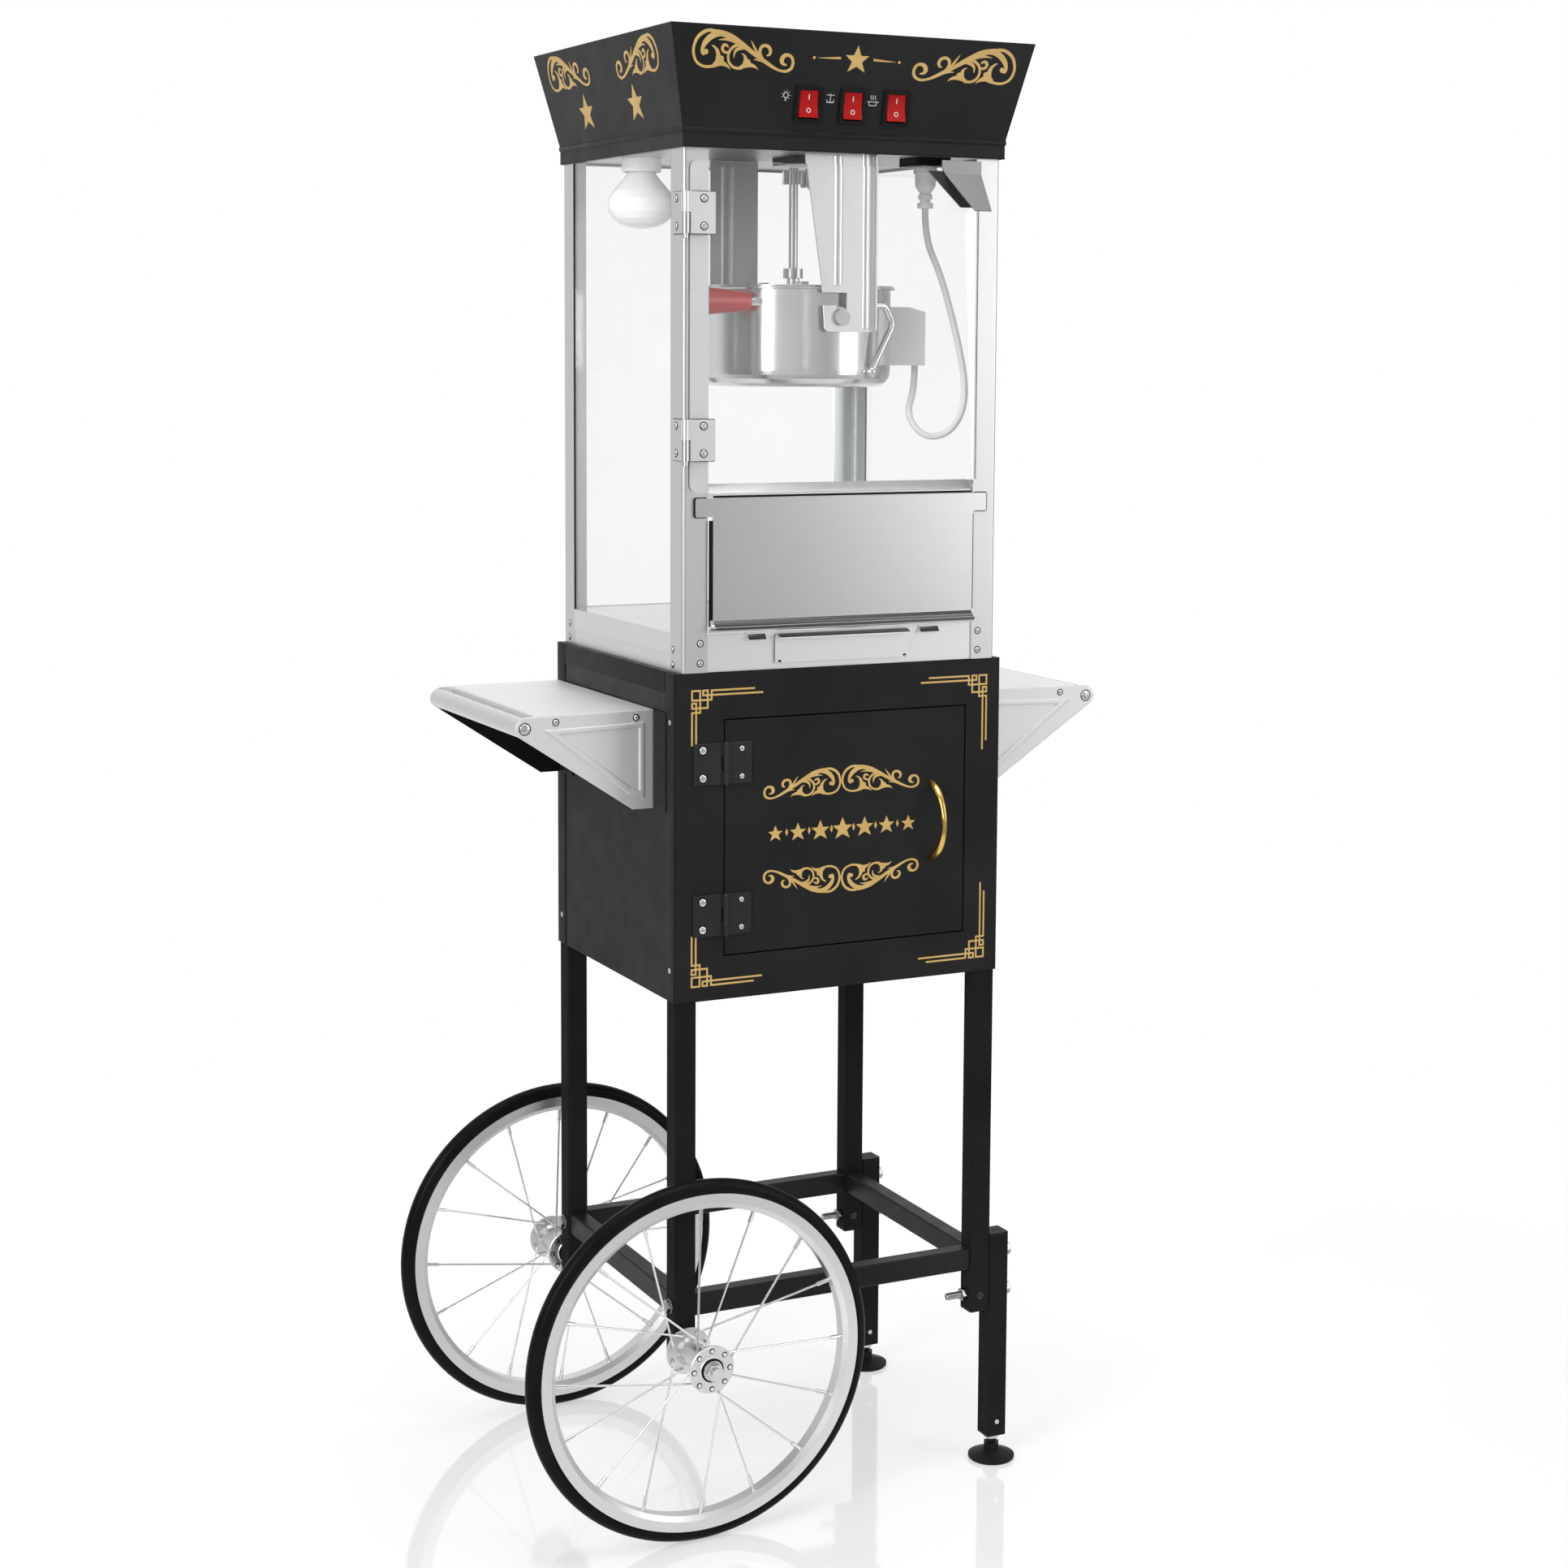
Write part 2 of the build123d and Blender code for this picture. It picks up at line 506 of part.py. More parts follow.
with BuildPart() as cabinet_door_screws:
    for z0 in CAB_HINGE_Z:
        for dz in (7.3, 37.7):
            head_y(-121.7, z0 + dz, -1.6, -1, r=3.0, tall=1.5)
save(cabinet_door_screws, "cabinet_door_screws")

with BuildPart() as cabinet_handle:
    # a bow, broad at its feet and slim in the middle
    bow_mid, bow_half = (PULL_Z0 + PULL_Z1) / 2, (PULL_Z1 - PULL_Z0) / 2
    bow_r = (bow_half**2 + PULL_OUT**2) / (2 * PULL_OUT)
    bow_end = acos((bow_r - PULL_OUT) / bow_r) + 0.12  # runs into the door's face and is cut off there
    bow_y = bow_r - PULL_OUT

    def on_bow(a):
        return (CX + PULL_X, CY + bow_y - bow_r * cos(a), bow_mid + bow_r * sin(a))

    with BuildLine() as bow:
        ThreePointArc(on_bow(bow_end), on_bow(0), on_bow(-bow_end))
    bow_faces = []
    for a, wide, thick in ((bow_end, 5.2, 4.0), (bow_end * 0.6, 4.5, 3.9), (0, 3.3, 3.5), (-bow_end * 0.6, 4.5, 3.9), (-bow_end, 5.2, 4.0)):
        with BuildSketch(Plane(origin=on_bow(a), x_dir=(1, 0, 0), z_dir=(0, -sin(a), -cos(a)))) as bow_face:
            Ellipse(wide, thick)
        bow_faces.append(bow_face.sketch.face())
    sweep(bow_faces, path=bow.wire(), multisection=True)
    slab(PULL_X - 20, PULL_X + 20, 0, 30, PULL_Z0 - 30, PULL_Z1 + 30, Mode.SUBTRACT)
save(cabinet_handle, "cabinet_handle")

# ---- side shelves -------------------------------------------------------------------------------
tip_x, tip_z = SHELF_TIP
MOUNT_X = HALF_W + 1.9
with BuildPart() as shelf_plates:
    for s in (-1, 1):
        poly_xz([(s * MOUNT_X, SHELF_Z), (s * MOUNT_X, SHELF_Z + 1.4), (s * 335, SHELF_Z + 1.4), (s * 336.4, SHELF_Z), (s * 336.4, 887), (s * 335, 887), (s * 335, SHELF_Z)], SHELF_Y0 + 2.1, SHELF_Y1 - 2.1)
save(shelf_plates, "shelf_plates")

with BuildPart() as shelf_brackets:
    for s in (-1, 1):
        around = [(tip_x + SHELF_BAR_R * cos(radians(a)), tip_z + SHELF_BAR_R * sin(radians(a))) for a in (90, 65, 40, 15, -10, -35, -56)]
        outline = [(MOUNT_X, SHELF_Z + 1.4)] + [(x, z + (1.4 if i == 0 else 0)) for i, (x, z) in enumerate(around)] + [(226, BRACKET_BOTTOM_Z), (MOUNT_X, BRACKET_BOTTOM_Z)]
        outline = [(s * x, z) for x, z in outline]
        rib_out = [(s * x, z) for x, z in ((213, 889), (327, 886), (231, 812), (213, 806))]
        rib_in = [(s * x, z) for x, z in ((218, 884), (312, 881.5), (229, 818), (218, 815))]
        for y0, y1, ya, yb in ((SHELF_Y0, SHELF_Y0 + 2, SHELF_Y0 - 1.4, SHELF_Y0), (SHELF_Y1 - 2, SHELF_Y1, SHELF_Y1, SHELF_Y1 + 1.4)):
            poly_xz(outline, y0, y1)
            with BuildSketch(Plane.XZ.offset(-(CY + yb))) as rib:
                with BuildLine():
                    Polyline(*[(CX + x, z) for x, z in rib_out], close=True)
                make_face()
                with BuildLine():
                    Polyline(*[(CX + x, z) for x, z in rib_in], close=True)
                make_face(mode=Mode.SUBTRACT)
            extrude(rib.sketch, amount=yb - ya)
save(shelf_brackets, "shelf_brackets")

with BuildPart() as shelf_bars:
    for s in (-1, 1):
        rod_y(s * tip_x, tip_z, SHELF_BAR_R - 0.4, SHELF_Y0 + 2, SHELF_Y1 - 2)
        rod_y(s * tip_x, tip_z, SHELF_BAR_R - 2.0, SHELF_Y0 + 2, SHELF_Y1 - 2, Mode.SUBTRACT)
save(shelf_bars, "shelf_bars")

with BuildPart() as shelf_mounts:
    for s in (-1, 1):
        a, b = sorted((s * HALF_W, s * MOUNT_X))
        side(22, SHELF_Y0 + 8, BRACKET_BOTTOM_Z, SHELF_Z + 1, a, b)
        side(SHELF_Y1 - 41, SHELF_Y1, BRACKET_BOTTOM_Z, SHELF_Z + 1, a, b)
save(shelf_mounts, "shelf_mounts")

# ---- popping case -------------------------------------------------------------------------------
with BuildPart() as corner_posts:
    arc = [radians(a) for a in (180, 202, 225, 248, 270)]
    outer = [(4 + 4 * cos(a), 4 + 4 * sin(a)) for a in arc]
    inner = [(4 + 2.8 * cos(a), 4 + 2.8 * sin(a)) for a in reversed(arc)]
    angle = outer + [(POST_FRONT, 0), (POST_FRONT, POST_T)] + inner + [(POST_T, POST_SIDE), (0, POST_SIDE)]
    for sx in (-1, 1):
        poly_xy([(sx * (CASE_W2 - u), v) for u, v in angle], CASE_Z0, CASE_Z1)
        poly_xy([(sx * (CASE_W2 - u), CASE_D - v) for u, v in angle], CASE_Z0, CASE_Z1)
save(corner_posts, "corner_posts")

with BuildPart() as base_panels:
    front(-175, 175, CASE_Z0, BASE_Z1, 1.5, 2.7)
    front(-DRAWER_W2 - 1.5, DRAWER_W2 + 1.5, DRAWER_Z0 - 1.8, DRAWER_Z1 + 2, 0, 4, Mode.SUBTRACT)
    # clips with a curled lower edge
    for x0, x1 in ((-115.5, -94), (95.6, 119.5)):
        poly_yz([(1.5, 987.8), (-0.5, 987.8), (-0.7, 985.2), (-2.0, 983.0), (-3.6, 981.6), (-4.2, 980.4), (-3.2, 980.2), (-1.6, 981.4), (0.2, 983.2), (1.5, 984.6)], x0, x1)
    # sloping sill between the front posts, behind the flap's upper edge
    poly_yz([(1.2, 1128), (2.4, 1128), (2.4, 1131.4), (2.9, 1134.6), (4.2, 1137.2), (12.6, 1147.4), (11.6, 1148.2), (3.1, 1138.2), (1.7, 1135.2), (1.2, 1131.6)], -170, 170)
    for s in (-1, 1):
        a, b = sorted((s * (CASE_W2 - 0.6), s * (CASE_W2 - 1.2)))
        side(31.2, CASE_D - 31.2, CASE_Z0, BASE_Z1, a, b)
        a, b = sorted((s * CASE_W2, s * (CASE_W2 - 0.6)))
        side(31.2, CASE_D - 31.2, 964, BASE_Z1, a, b)
    front(-162, 162, CASE_Z0, BASE_Z1, CASE_D - 1.2, CASE_D)
    # hole for the mains lead's bush
    rod_y(120, 965, 8, CASE_D - 3, CASE_D + 1, Mode.SUBTRACT)
save(base_panels, "base_panels")

with BuildPart() as popcorn_deck:
    slab(-187, 187, 4, 340, DECK_Z, DECK_Z + 1.2)
    for i in range(9):
        for yc in (60.0, 140.0):
            x = -64 + 16 * i
            slab(x - 2, x + 2, yc - 30, yc + 30, DECK_Z - 1, DECK_Z + 3, Mode.SUBTRACT)
    for s in (-1, 1):
        a, b = sorted((s * (DRAWER_W2 + 1), s * (DRAWER_W2 + 2.2)))
        slab(a, b, 6, 206, DRAWER_Z0 - 1.5, DECK_Z)
        a, b = sorted((s * (DRAWER_W2 - 1.7), s * (DRAWER_W2 + 2.2)))
        slab(a, b, 6, 206, DRAWER_Z0 - 1.5, DRAWER_Z0 - 0.3)
save(popcorn_deck, "popcorn_deck")

with BuildPart() as crumb_drawer:
    slab(-DRAWER_W2, DRAWER_W2, 0, DRAWER_DEEP, DRAWER_Z0, DRAWER_Z1)
    slab(-DRAWER_W2 + 1, DRAWER_W2 - 1, 1, DRAWER_DEEP - 1, DRAWER_Z0 + 1, DRAWER_Z1 + 1, Mode.SUBTRACT)
    front(-82, 82, 953.5, 984, -1.5, 0, r=1.5)
    # turned-down pull along the upper edge, and notches at the lower corners
    poly_yz([(-1.5, 983), (0, 983), (0, 985.4), (-1.5, 985.2), (-9.4, 981.9), (-9.8, 980.8), (-9.0, 980.6), (-1.5, 983.6)], -81, 81)
    for s in (-1, 1):
        a, b = sorted((s * 75, s * 79))
        front(a, b, 953, 957, -2, 0.5, Mode.SUBTRACT)
save(crumb_drawer, "crumb_drawer")

with BuildPart() as fixed_windows:
    for s in (-1, 1):
        a, b = sorted((s * (CASE_W2 - 1.4), s * (CASE_W2 - 1.4 - GLASS)))
        side(8, 337, 978, CASE_Z1 - 0.2, a, b)
    front(-186, 186, 978, CASE_Z1 - 0.2, CASE_D - 1.4 - GLASS, CASE_D - 1.4)
save(fixed_windows, "fixed_windows")

DRIVE_X = KX + GEAR_M * GEAR_N  # the drive gear stands beside the stirrer's gear
with BuildPart() as ceiling_plate:
    slab(-192.6, 192.6, -4.0, 345.7, CASE_Z1, CASE_Z1 + 1.2)
    rod_z(DRIVE_X, KY, 4.6, CASE_Z1 - 1, CASE_Z1 + 3, Mode.SUBTRACT)
save(ceiling_plate, "ceiling_plate")

CAN_MID = (CAN_Y0 + CAN_Y1) / 2
CAN_D = CAN_Y1 - CAN_Y0


def canopy_front_y(z):
    """The front slope's y at a height."""
    return CAN_Y0 - CAN_FLARE * (z - CAN_BEND) / (CAN_Z1 - CAN_BEND)


SLOPE = Vector(0, -(CAN_Z1 - CAN_BEND), -CAN_FLARE).normalized()  # out of the front slope


def switch_plane(x):
    return Plane(origin=(CX + x, CY + canopy_front_y(SWITCH_Z), SWITCH_Z), x_dir=(1, 0, 0), z_dir=SLOPE)


with BuildPart() as canopy:
    for inset, z_low, z_high, mode in ((0.0, CAN_Z0, CAN_Z1, Mode.ADD), (CAN_T, CAN_Z0 - 1, CAN_Z1 - CAN_T, Mode.SUBTRACT)):
        grow = CAN_FLARE * (z_high - CAN_BEND) / (CAN_Z1 - CAN_BEND)
        slab(-CAN_W2 + inset, CAN_W2 - inset, CAN_Y0 + inset, CAN_Y1 - inset, z_low, CAN_BEND, mode)
        with BuildSketch(Plane.XY.offset(CAN_BEND)) as low:
            with Locations((CX, CY + CAN_MID)):
                Rectangle(2 * (CAN_W2 - inset), CAN_D - 2 * inset)
        with BuildSketch(Plane.XY.offset(z_high)) as high:
            with Locations((CX, CY + CAN_MID)):
                Rectangle(2 * (CAN_W2 - inset + grow), CAN_D - 2 * inset + 2 * grow)
        loft([low.sketch.face(), high.sketch.face()], mode=mode)
    for x in SWITCH_X:
        with BuildSketch(switch_plane(x).offset(-4)) as hole:
            Rectangle(27.0, 34.0)
        extrude(hole.sketch, amount=8, mode=Mode.SUBTRACT)
save(canopy, "canopy")

with BuildPart() as switch_bezels:
    for x in SWITCH_X:
        with BuildSketch(switch_plane(x)) as plate:
            RectangleRounded(31, 38, 1.5)
        extrude(plate.sketch, amount=2.5)
        with BuildSketch(switch_plane(x)) as can:
            Rectangle(26.4, 33.4)
        extrude(can.sketch, amount=-20)
        with BuildSketch(switch_plane(x).offset(-15)) as well:
            Rectangle(23.0, 30.4)
        extrude(well.sketch, amount=20, mode=Mode.SUBTRACT)
        # bearing of the rocker's pin
        here = switch_plane(x).offset(-2)
        rod_x(here.origin.Y - CY, here.origin.Z, 1.55, x - 14, x + 14, Mode.SUBTRACT)
save(switch_bezels, "switch_bezels")

for name, x in zip(("lamp_rocker", "stirrer_rocker", "kettle_rocker"), SWITCH_X):
    with BuildPart() as rocker:
        # profile across the rocker, about its pivot 2 mm under the canopy's face, tipped in at the top
        tip = radians(-ROCKER_TILT)
        shape = [(-14.2, -4.0), (14.2, -4.0), (14.2, 5.0), (7, 3.9), (0, 3.4), (-7, 3.9), (-14.2, 5.0)]
        turned = [(u * cos(tip) - v * sin(tip), u * sin(tip) + v * cos(tip)) for u, v in shape]
        here = switch_plane(x).offset(-2)
        across = Plane(origin=here.origin - Vector(11, 0, 0), x_dir=here.y_dir, z_dir=(1, 0, 0))
        with BuildSketch(across):
            with BuildLine():
                Polyline(*turned, close=True)
            make_face()
        extrude(amount=22)
        rod_x(here.origin.Y - CY, here.origin.Z, 1.5, x - 12.9, x + 12.9)
    save(rocker, name)

# ---- kettle hangers, motor, lamp, socket --------------------------------------------------------
HANGER_REAR_Y = 2 * KY - HANGER_FRONT_Y - HANGER_T


def bead(x0, x1, y, proud, z0, z1):
    """A half-round stiffening bead on the front of an upright plate."""
    mid, half = (x0 + x1) / 2, (x1 - x0) / 2
    arc = [(mid + half * cos(radians(a)), y - proud * sin(radians(a))) for a in range(0, 181, 20)]
    poly_xy(arc + [(x0, y + 0.5), (x1, y + 0.5)], z0, z1)


with BuildPart() as kettle_hangers:
    y0, y1 = HANGER_FRONT_Y, HANGER_FRONT_Y + HANGER_T
    poly_xz([(-44, CASE_Z1), (40.5, CASE_Z1), (40.5, 1315), (37, 1311.5), (-17, 1311.5), (-20.5, 1315), (-22.7, 1354), (-44, 1497)], y0, y1)
    # pressed beads, and a flange turned forward at the right edge
    bead(-9.7, 0.6, y0, 3.0, 1362, 1501)
    bead(25.0, 33.0, y0, 2.2, 1315, CASE_Z1)
    side(y0 - 6, y1, 1313, CASE_Z1, 38.5, 40.5)
    y2, y3 = HANGER_REAR_Y, HANGER_REAR_Y + HANGER_T
    poly_xz([(-48, CASE_Z1), (12, CASE_Z1), (12, 1315), (8.5, 1311.5), (-44.5, 1311.5), (-48, 1315)], y2, y3)
    bead(-35.0, -17.6, y2, 3.1, 1364, 1501)
    side(y2, y3 + 8, 1313, CASE_Z1, 10, 12)
    for ya, yb in ((y0 - 2, y1 + 1), (y2 - 2, y3 + 1)):
        rod_y(KX, PIVOT_Z, NECK_R + 0.05, ya, yb, Mode.SUBTRACT)
        front(KX - NECK_R - 0.05, KX + NECK_R + 0.05, PIVOT_Z, 1354, ya, yb, Mode.SUBTRACT)
        front(-60, KX, 1340, 1354, ya, yb, Mode.SUBTRACT)
save(kettle_hangers, "kettle_hangers")

with BuildPart() as stirrer_motor:
    slab(DRIVE_X - 34, DRIVE_X + 30, KY - 32, KY + 32, 1497.5, CASE_Z1, r=3)
    slab(DRIVE_X - 34, DRIVE_X + 30, KY - 32, KY + 32, CASE_Z1 + 1.2, 1530, r=3)
    rod_z(DRIVE_X - 2, KY, 27, 1530, 1585)
    rod_z(DRIVE_X, KY, 4.06, 1490, 1522.5, Mode.SUBTRACT)
save(stirrer_motor, "stirrer_motor")

with BuildPart() as drive_gear:
    poly_xy([(DRIVE_X + u, KY + v) for u, v in gear_outline(GEAR_N, GEAR_M, pi / GEAR_N, 0.25)], GEAR_Z0 - 3, GEAR_Z1 - 3)
    rod_z(DRIVE_X, KY, 7, GEAR_Z1 - 3, GEAR_Z1 + 3)
    rod_z(DRIVE_X, KY, 4.0, GEAR_Z0 - 5, 1522)
save(drive_gear, "drive_gear")

lx, ly = LAMP
with BuildPart() as ceiling_sockets:
    turned_z(lx, ly, [(15.4, 1491), (20, 1491), (22, 1494), (22, CASE_Z1), (0, CASE_Z1), (0, 1500), (15.4, 1500)])
    slab(PLUG[0] - 21, PLUG[0] + 21, PLUG[1] - 24, PLUG[1] + 24, 1497, CASE_Z1, r=3)
save(ceiling_sockets, "ceiling_sockets")

with BuildPart() as lamp_bulb:
    turned_z(
        lx, ly,
        [
            (0, 1427), (9, 1427.6), (18, 1429.5), (26, 1433), (32.5, 1438.3), (37, 1445.5), (38.6, 1453), (37.6, 1460.5), (33, 1469),
            (25, 1478), (19, 1485), (15.2, 1491), (15.2, 1499.8), (0, 1499.8),
        ],
    )
save(lamp_bulb, "lamp_bulb")

with BuildPart() as kettle_plug:
    turned_z(
        PLUG[0], PLUG[1],
        [
            (0, 1450.6), (8.4, 1450.6), (9, 1451.2), (9, 1456.2), (8.4, 1456.8), (6, 1456.8), (6, 1460.4), (7.4, 1460.4), (8, 1461), (8, 1465.6), (7.4, 1466.2),
            (6.4, 1466.2), (6.4, 1468.2), (8.4, 1470), (11.6, 1475.5), (12, 1488), (13.5, 1489), (13.5, 1497), (0, 1497),
        ],
    )
save(kettle_plug, "kettle_plug")

# The kettle's cord: from the heater box down, round a hanging loop and up to the plug.
cord_route = [
    (125.0, 71.7, 1274.7), (125.0, 71.7, 1248.0), (112.0, 67.0, 1220.0), (128.0, 56.0, 1194.0), (154.0, 46.0, 1197.0), (171.0, 40.5, 1222.0),
    (173.5, 40.5, 1258.0), (165.0, 49.0, 1313.0), (152.0, 61.0, 1376.0), (135.5, 70.0, 1417.0), (135.5, 70.0, 1450.6),
]
route = [Vector(CX + x, CY + y, z) for x, y, z in cord_route]
cord_radii = []
for a, b, c in zip(route, route[1:], route[2:]):
    turn = (b - a).get_angle(c - b)
    cord_radii.append(0.45 * min((b - a).length, (c - b).length) / tan(radians(turn) / 2))
with BuildPart() as kettle_cord:
    with BuildLine() as cord_path:
        FilletPolyline(*route, radius=cord_radii)
    cord_length = cord_path.wire().length
    with BuildSketch(Plane(origin=route[0], z_dir=(route[1] - route[0]).normalized())):
        Circle(CORD_R)
    sweep()
save(kettle_cord, "kettle_cord")
print("cord radii", [round(r, 1) for r in cord_radii])
print("cord length", round(cord_length, 1), "volume", round(kettle_cord.part.volume), "section x length", round(pi * CORD_R**2 * cord_length))

# ---- kettle -------------------------------------------------------------------------------------
with BuildPart() as kettle_pot:
    turned_z(
        KX, KY,
        [
            (0, POT_Z0), (93.5, POT_Z0), (99.4, POT_Z0 + 1.1), (104.6, POT_Z0 + 4.2), (108.2, POT_Z0 + 9.2), (109.6, POT_Z0 + 13.6), (POT_R, POT_Z0 + 18), (POT_R, POT_Z1 - 3), (RIM_R - 1, POT_Z1 - 3),
            (RIM_R, POT_Z1 - 2), (RIM_R, POT_Z1 - 0.6), (RIM_R - 0.8, POT_Z1), (POT_R - 2, POT_Z1), (POT_R - 2, POT_Z0 + 18), (107.6, POT_Z0 + 14), (106.3, POT_Z0 + 10.2), (103.2, POT_Z0 + 6.2), (98.8, POT_Z0 + 3.7), (93.4, POT_Z0 + 3), (0, POT_Z0 + 3),
        ],
    )
save(kettle_pot, "kettle_pot")

lpx, lpz = LID_PIN
with BuildPart() as kettle_lid:
    rod_z(KX, KY, 113.5, POT_Z1, POT_Z1 + 1.5)
    slab(-130, -11, KY - 130, KY + 130, POT_Z1 - 1, POT_Z1 + 3, Mode.SUBTRACT)
    rod_z(KX, KY, 7.2, POT_Z1 + 1.5, 1371)
    for ya, yb in ((KY - 56, KY - 50), (KY + 50, KY + 56)):
        slab(lpx - 2.4, -8, ya, yb, POT_Z1 + 1.9, lpz + 2.2)
        slab(-11, -8, ya, yb, POT_Z1 + 1.5, POT_Z1 + 1.9)
        rod_y(lpx, lpz, 1.2, ya - 1, yb + 1, Mode.SUBTRACT)
        rod_y(lpx, lpz, 1.19, ya - 15 if ya > KY else ya - 1.5, yb + 1.5 if ya > KY else yb + 15)
    rod_z(KX, KY, SHAFT_R + 0.06, POT_Z1 - 1, 1372, Mode.SUBTRACT)
save(kettle_lid, "kettle_lid")

with BuildPart() as kettle_lid_flap:
    rod_z(KX, KY, 112.5, POT_Z1 + 0.3, POT_Z1 + 1.5)
    slab(-11.5, 130, KY - 130, KY + 130, POT_Z1 - 1, POT_Z1 + 3, Mode.SUBTRACT)
    slab(-26, -11, KY - 130, KY - 102, POT_Z1 - 1, POT_Z1 + 3, Mode.SUBTRACT)
    slab(-26, -11, KY + 102, KY + 130, POT_Z1 - 1, POT_Z1 + 3, Mode.SUBTRACT)
    # notches round the lid's lugs
    for ya, yb in ((KY - 57.5, KY - 49.5), (KY + 49.5, KY + 57.5)):
        slab(-19.5, -11, ya, yb, POT_Z1 - 1, POT_Z1 + 3, Mode.SUBTRACT)
    for ya, yb in ((KY - 49.5, KY - 37), (KY + 37, KY + 49.5)):
        slab(lpx - 1.6, lpx + 1.6, ya, yb, POT_Z1 + 1.5, lpz)
        rod_y(lpx, lpz, 2.2, ya, yb)
        rod_y(lpx, lpz, 1.25, ya - 1, yb + 1, Mode.SUBTRACT)
save(kettle_lid_flap, "kettle_lid_flap")

with BuildPart() as kettle_trunnions:
    for out, y_face in ((-1, HANGER_FRONT_Y), (1, HANGER_REAR_Y + HANGER_T)):
        inner = y_face - out * HANGER_T

        def span(a, b):
            return (min(a, b), max(a, b))

        rod_y(KX, PIVOT_Z, 9.0, *span(y_face + out * 0.6, y_face + out * 4.5))
        rod_y(KX, PIVOT_Z, NECK_R, *span(y_face + out * 0.6, inner - out * 0.6))
        rod_y(KX, PIVOT_Z, 11.0, *span(inner - out * 0.6, inner - out * 12))
    # stub that the grip screws on to
    rod_x(GRIP_Y, GRIP_Z, 5.0, -90, -70)
    # bent side rod with a ball at its lower end
    with BuildLine() as rod_path:
        FilletPolyline(
            (CX + 15, CY + 19.5, 1337), (CX + 59, CY + 20.5, 1341), (CX + 72, CY + 25, 1321), (CX + 44, CY + 25.0, 1268),
            radius=[9, 14],
        )
    with BuildSketch(Plane(origin=rod_path.wire() @ 0, z_dir=rod_path.wire() % 0)) as rod_face:
        Circle(4.0)
    sweep(rod_face.sketch, path=rod_path.wire())
    with BuildSketch(Plane(origin=(CX + 45.5, CY + 25.5, 1268), x_dir=(1, 0, 0), z_dir=(0, -1, 0))) as ball:
        Circle(6.0)
        with Locations((0, -6)):
            Rectangle(12, 12, mode=Mode.SUBTRACT)
    revolve(ball.sketch, axis=Axis((CX + 45.5, CY + 25.5, 1268), (1, 0, 0)))
    rod_z(KX, KY, POT_R, POT_Z0 - 5, POT_Z1 + 5, Mode.SUBTRACT)
save(kettle_trunnions, "kettle_trunnions")

with BuildPart() as kettle_grip:
    turned_x(GRIP_Y, GRIP_Z, [(-90, 0), (-90, 8.8), (-92.5, 10.0), (-110, 12), (-135, 14.4), (-158, 16.4), (-163, 15.8), (-166, 13), (-167, 8), (-167, 0)])
save(kettle_grip, "kettle_grip")

box_out = Vector(cos(radians(BOX_TURN)), -sin(radians(BOX_TURN)), 0)
with BuildPart() as heater_box:
    with BuildSketch(Plane(origin=(CX + KX, CY + KY, 1275), x_dir=box_out, z_dir=(0, 0, 1))) as foot_print:
        with Locations((123, 0)):
            Rectangle(50, 48)
    extrude(foot_print.sketch, amount=65)
    # sloping top
    with BuildSketch(Plane(origin=(CX + KX, CY + KY, 0), x_dir=box_out, z_dir=(-box_out.Y * -1, box_out.X * -1, 0)).offset(-40)) as slope:
        with BuildLine():
            Polyline((112, 1345), (150, 1345), (150, 1334), close=True)
        make_face()
    extrude(slope.sketch, amount=80, mode=Mode.SUBTRACT)
    # hollow, closed by the pot's wall
    with BuildSketch(Plane(origin=(CX + KX, CY + KY, 1276.5), x_dir=box_out, z_dir=(0, 0, 1))) as inside:
        with Locations((120, 0)):
            Rectangle(53, 45)
    extrude(inside.sketch, amount=55, mode=Mode.SUBTRACT)
    rod_z(KX, KY, POT_R, POT_Z0 - 5, POT_Z1 + 5, Mode.SUBTRACT)
save(heater_box, "heater_box")

with BuildPart() as stirrer_shaft:
    rod_z(KX, KY, SHAFT_R, POT_Z0 + 9, 1494.5)
    # gear on the top of the shaft
    with BuildSketch(Plane.XY.offset(GEAR_Z0)) as gear:
        with BuildLine():
            Polyline(*[(CX + KX + u, CY + KY + v) for u, v in gear_outline(GEAR_N, GEAR_M, 0.0, 0.25)], close=True)
        make_face()
        with Locations((CX + KX, CY + KY)):
            Circle(SHAFT_R + 0.02, mode=Mode.SUBTRACT)
    extrude(gear.sketch, amount=GEAR_Z1 - GEAR_Z0)
    # collar with its set screw, riding on the lid's bush
    with BuildSketch(Plane.XY.offset(1371.4)) as collar:
        with Locations((CX + KX, CY + KY)):
            Circle(11)
            Circle(SHAFT_R + 0.02, mode=Mode.SUBTRACT)
    extrude(collar.sketch, amount=11)
    # blades low in the pot
    with BuildSketch(Plane.XY.offset(POT_Z0 + 4.5)) as blade:
        with Locations((CX + KX, CY + KY)):
            Circle(9)
            Rectangle(180, 4)
            Rectangle(4, 120)
            Circle(SHAFT_R + 0.02, mode=Mode.SUBTRACT)
    extrude(blade.sketch, amount=9)
save(stirrer_shaft, "stirrer_shaft")

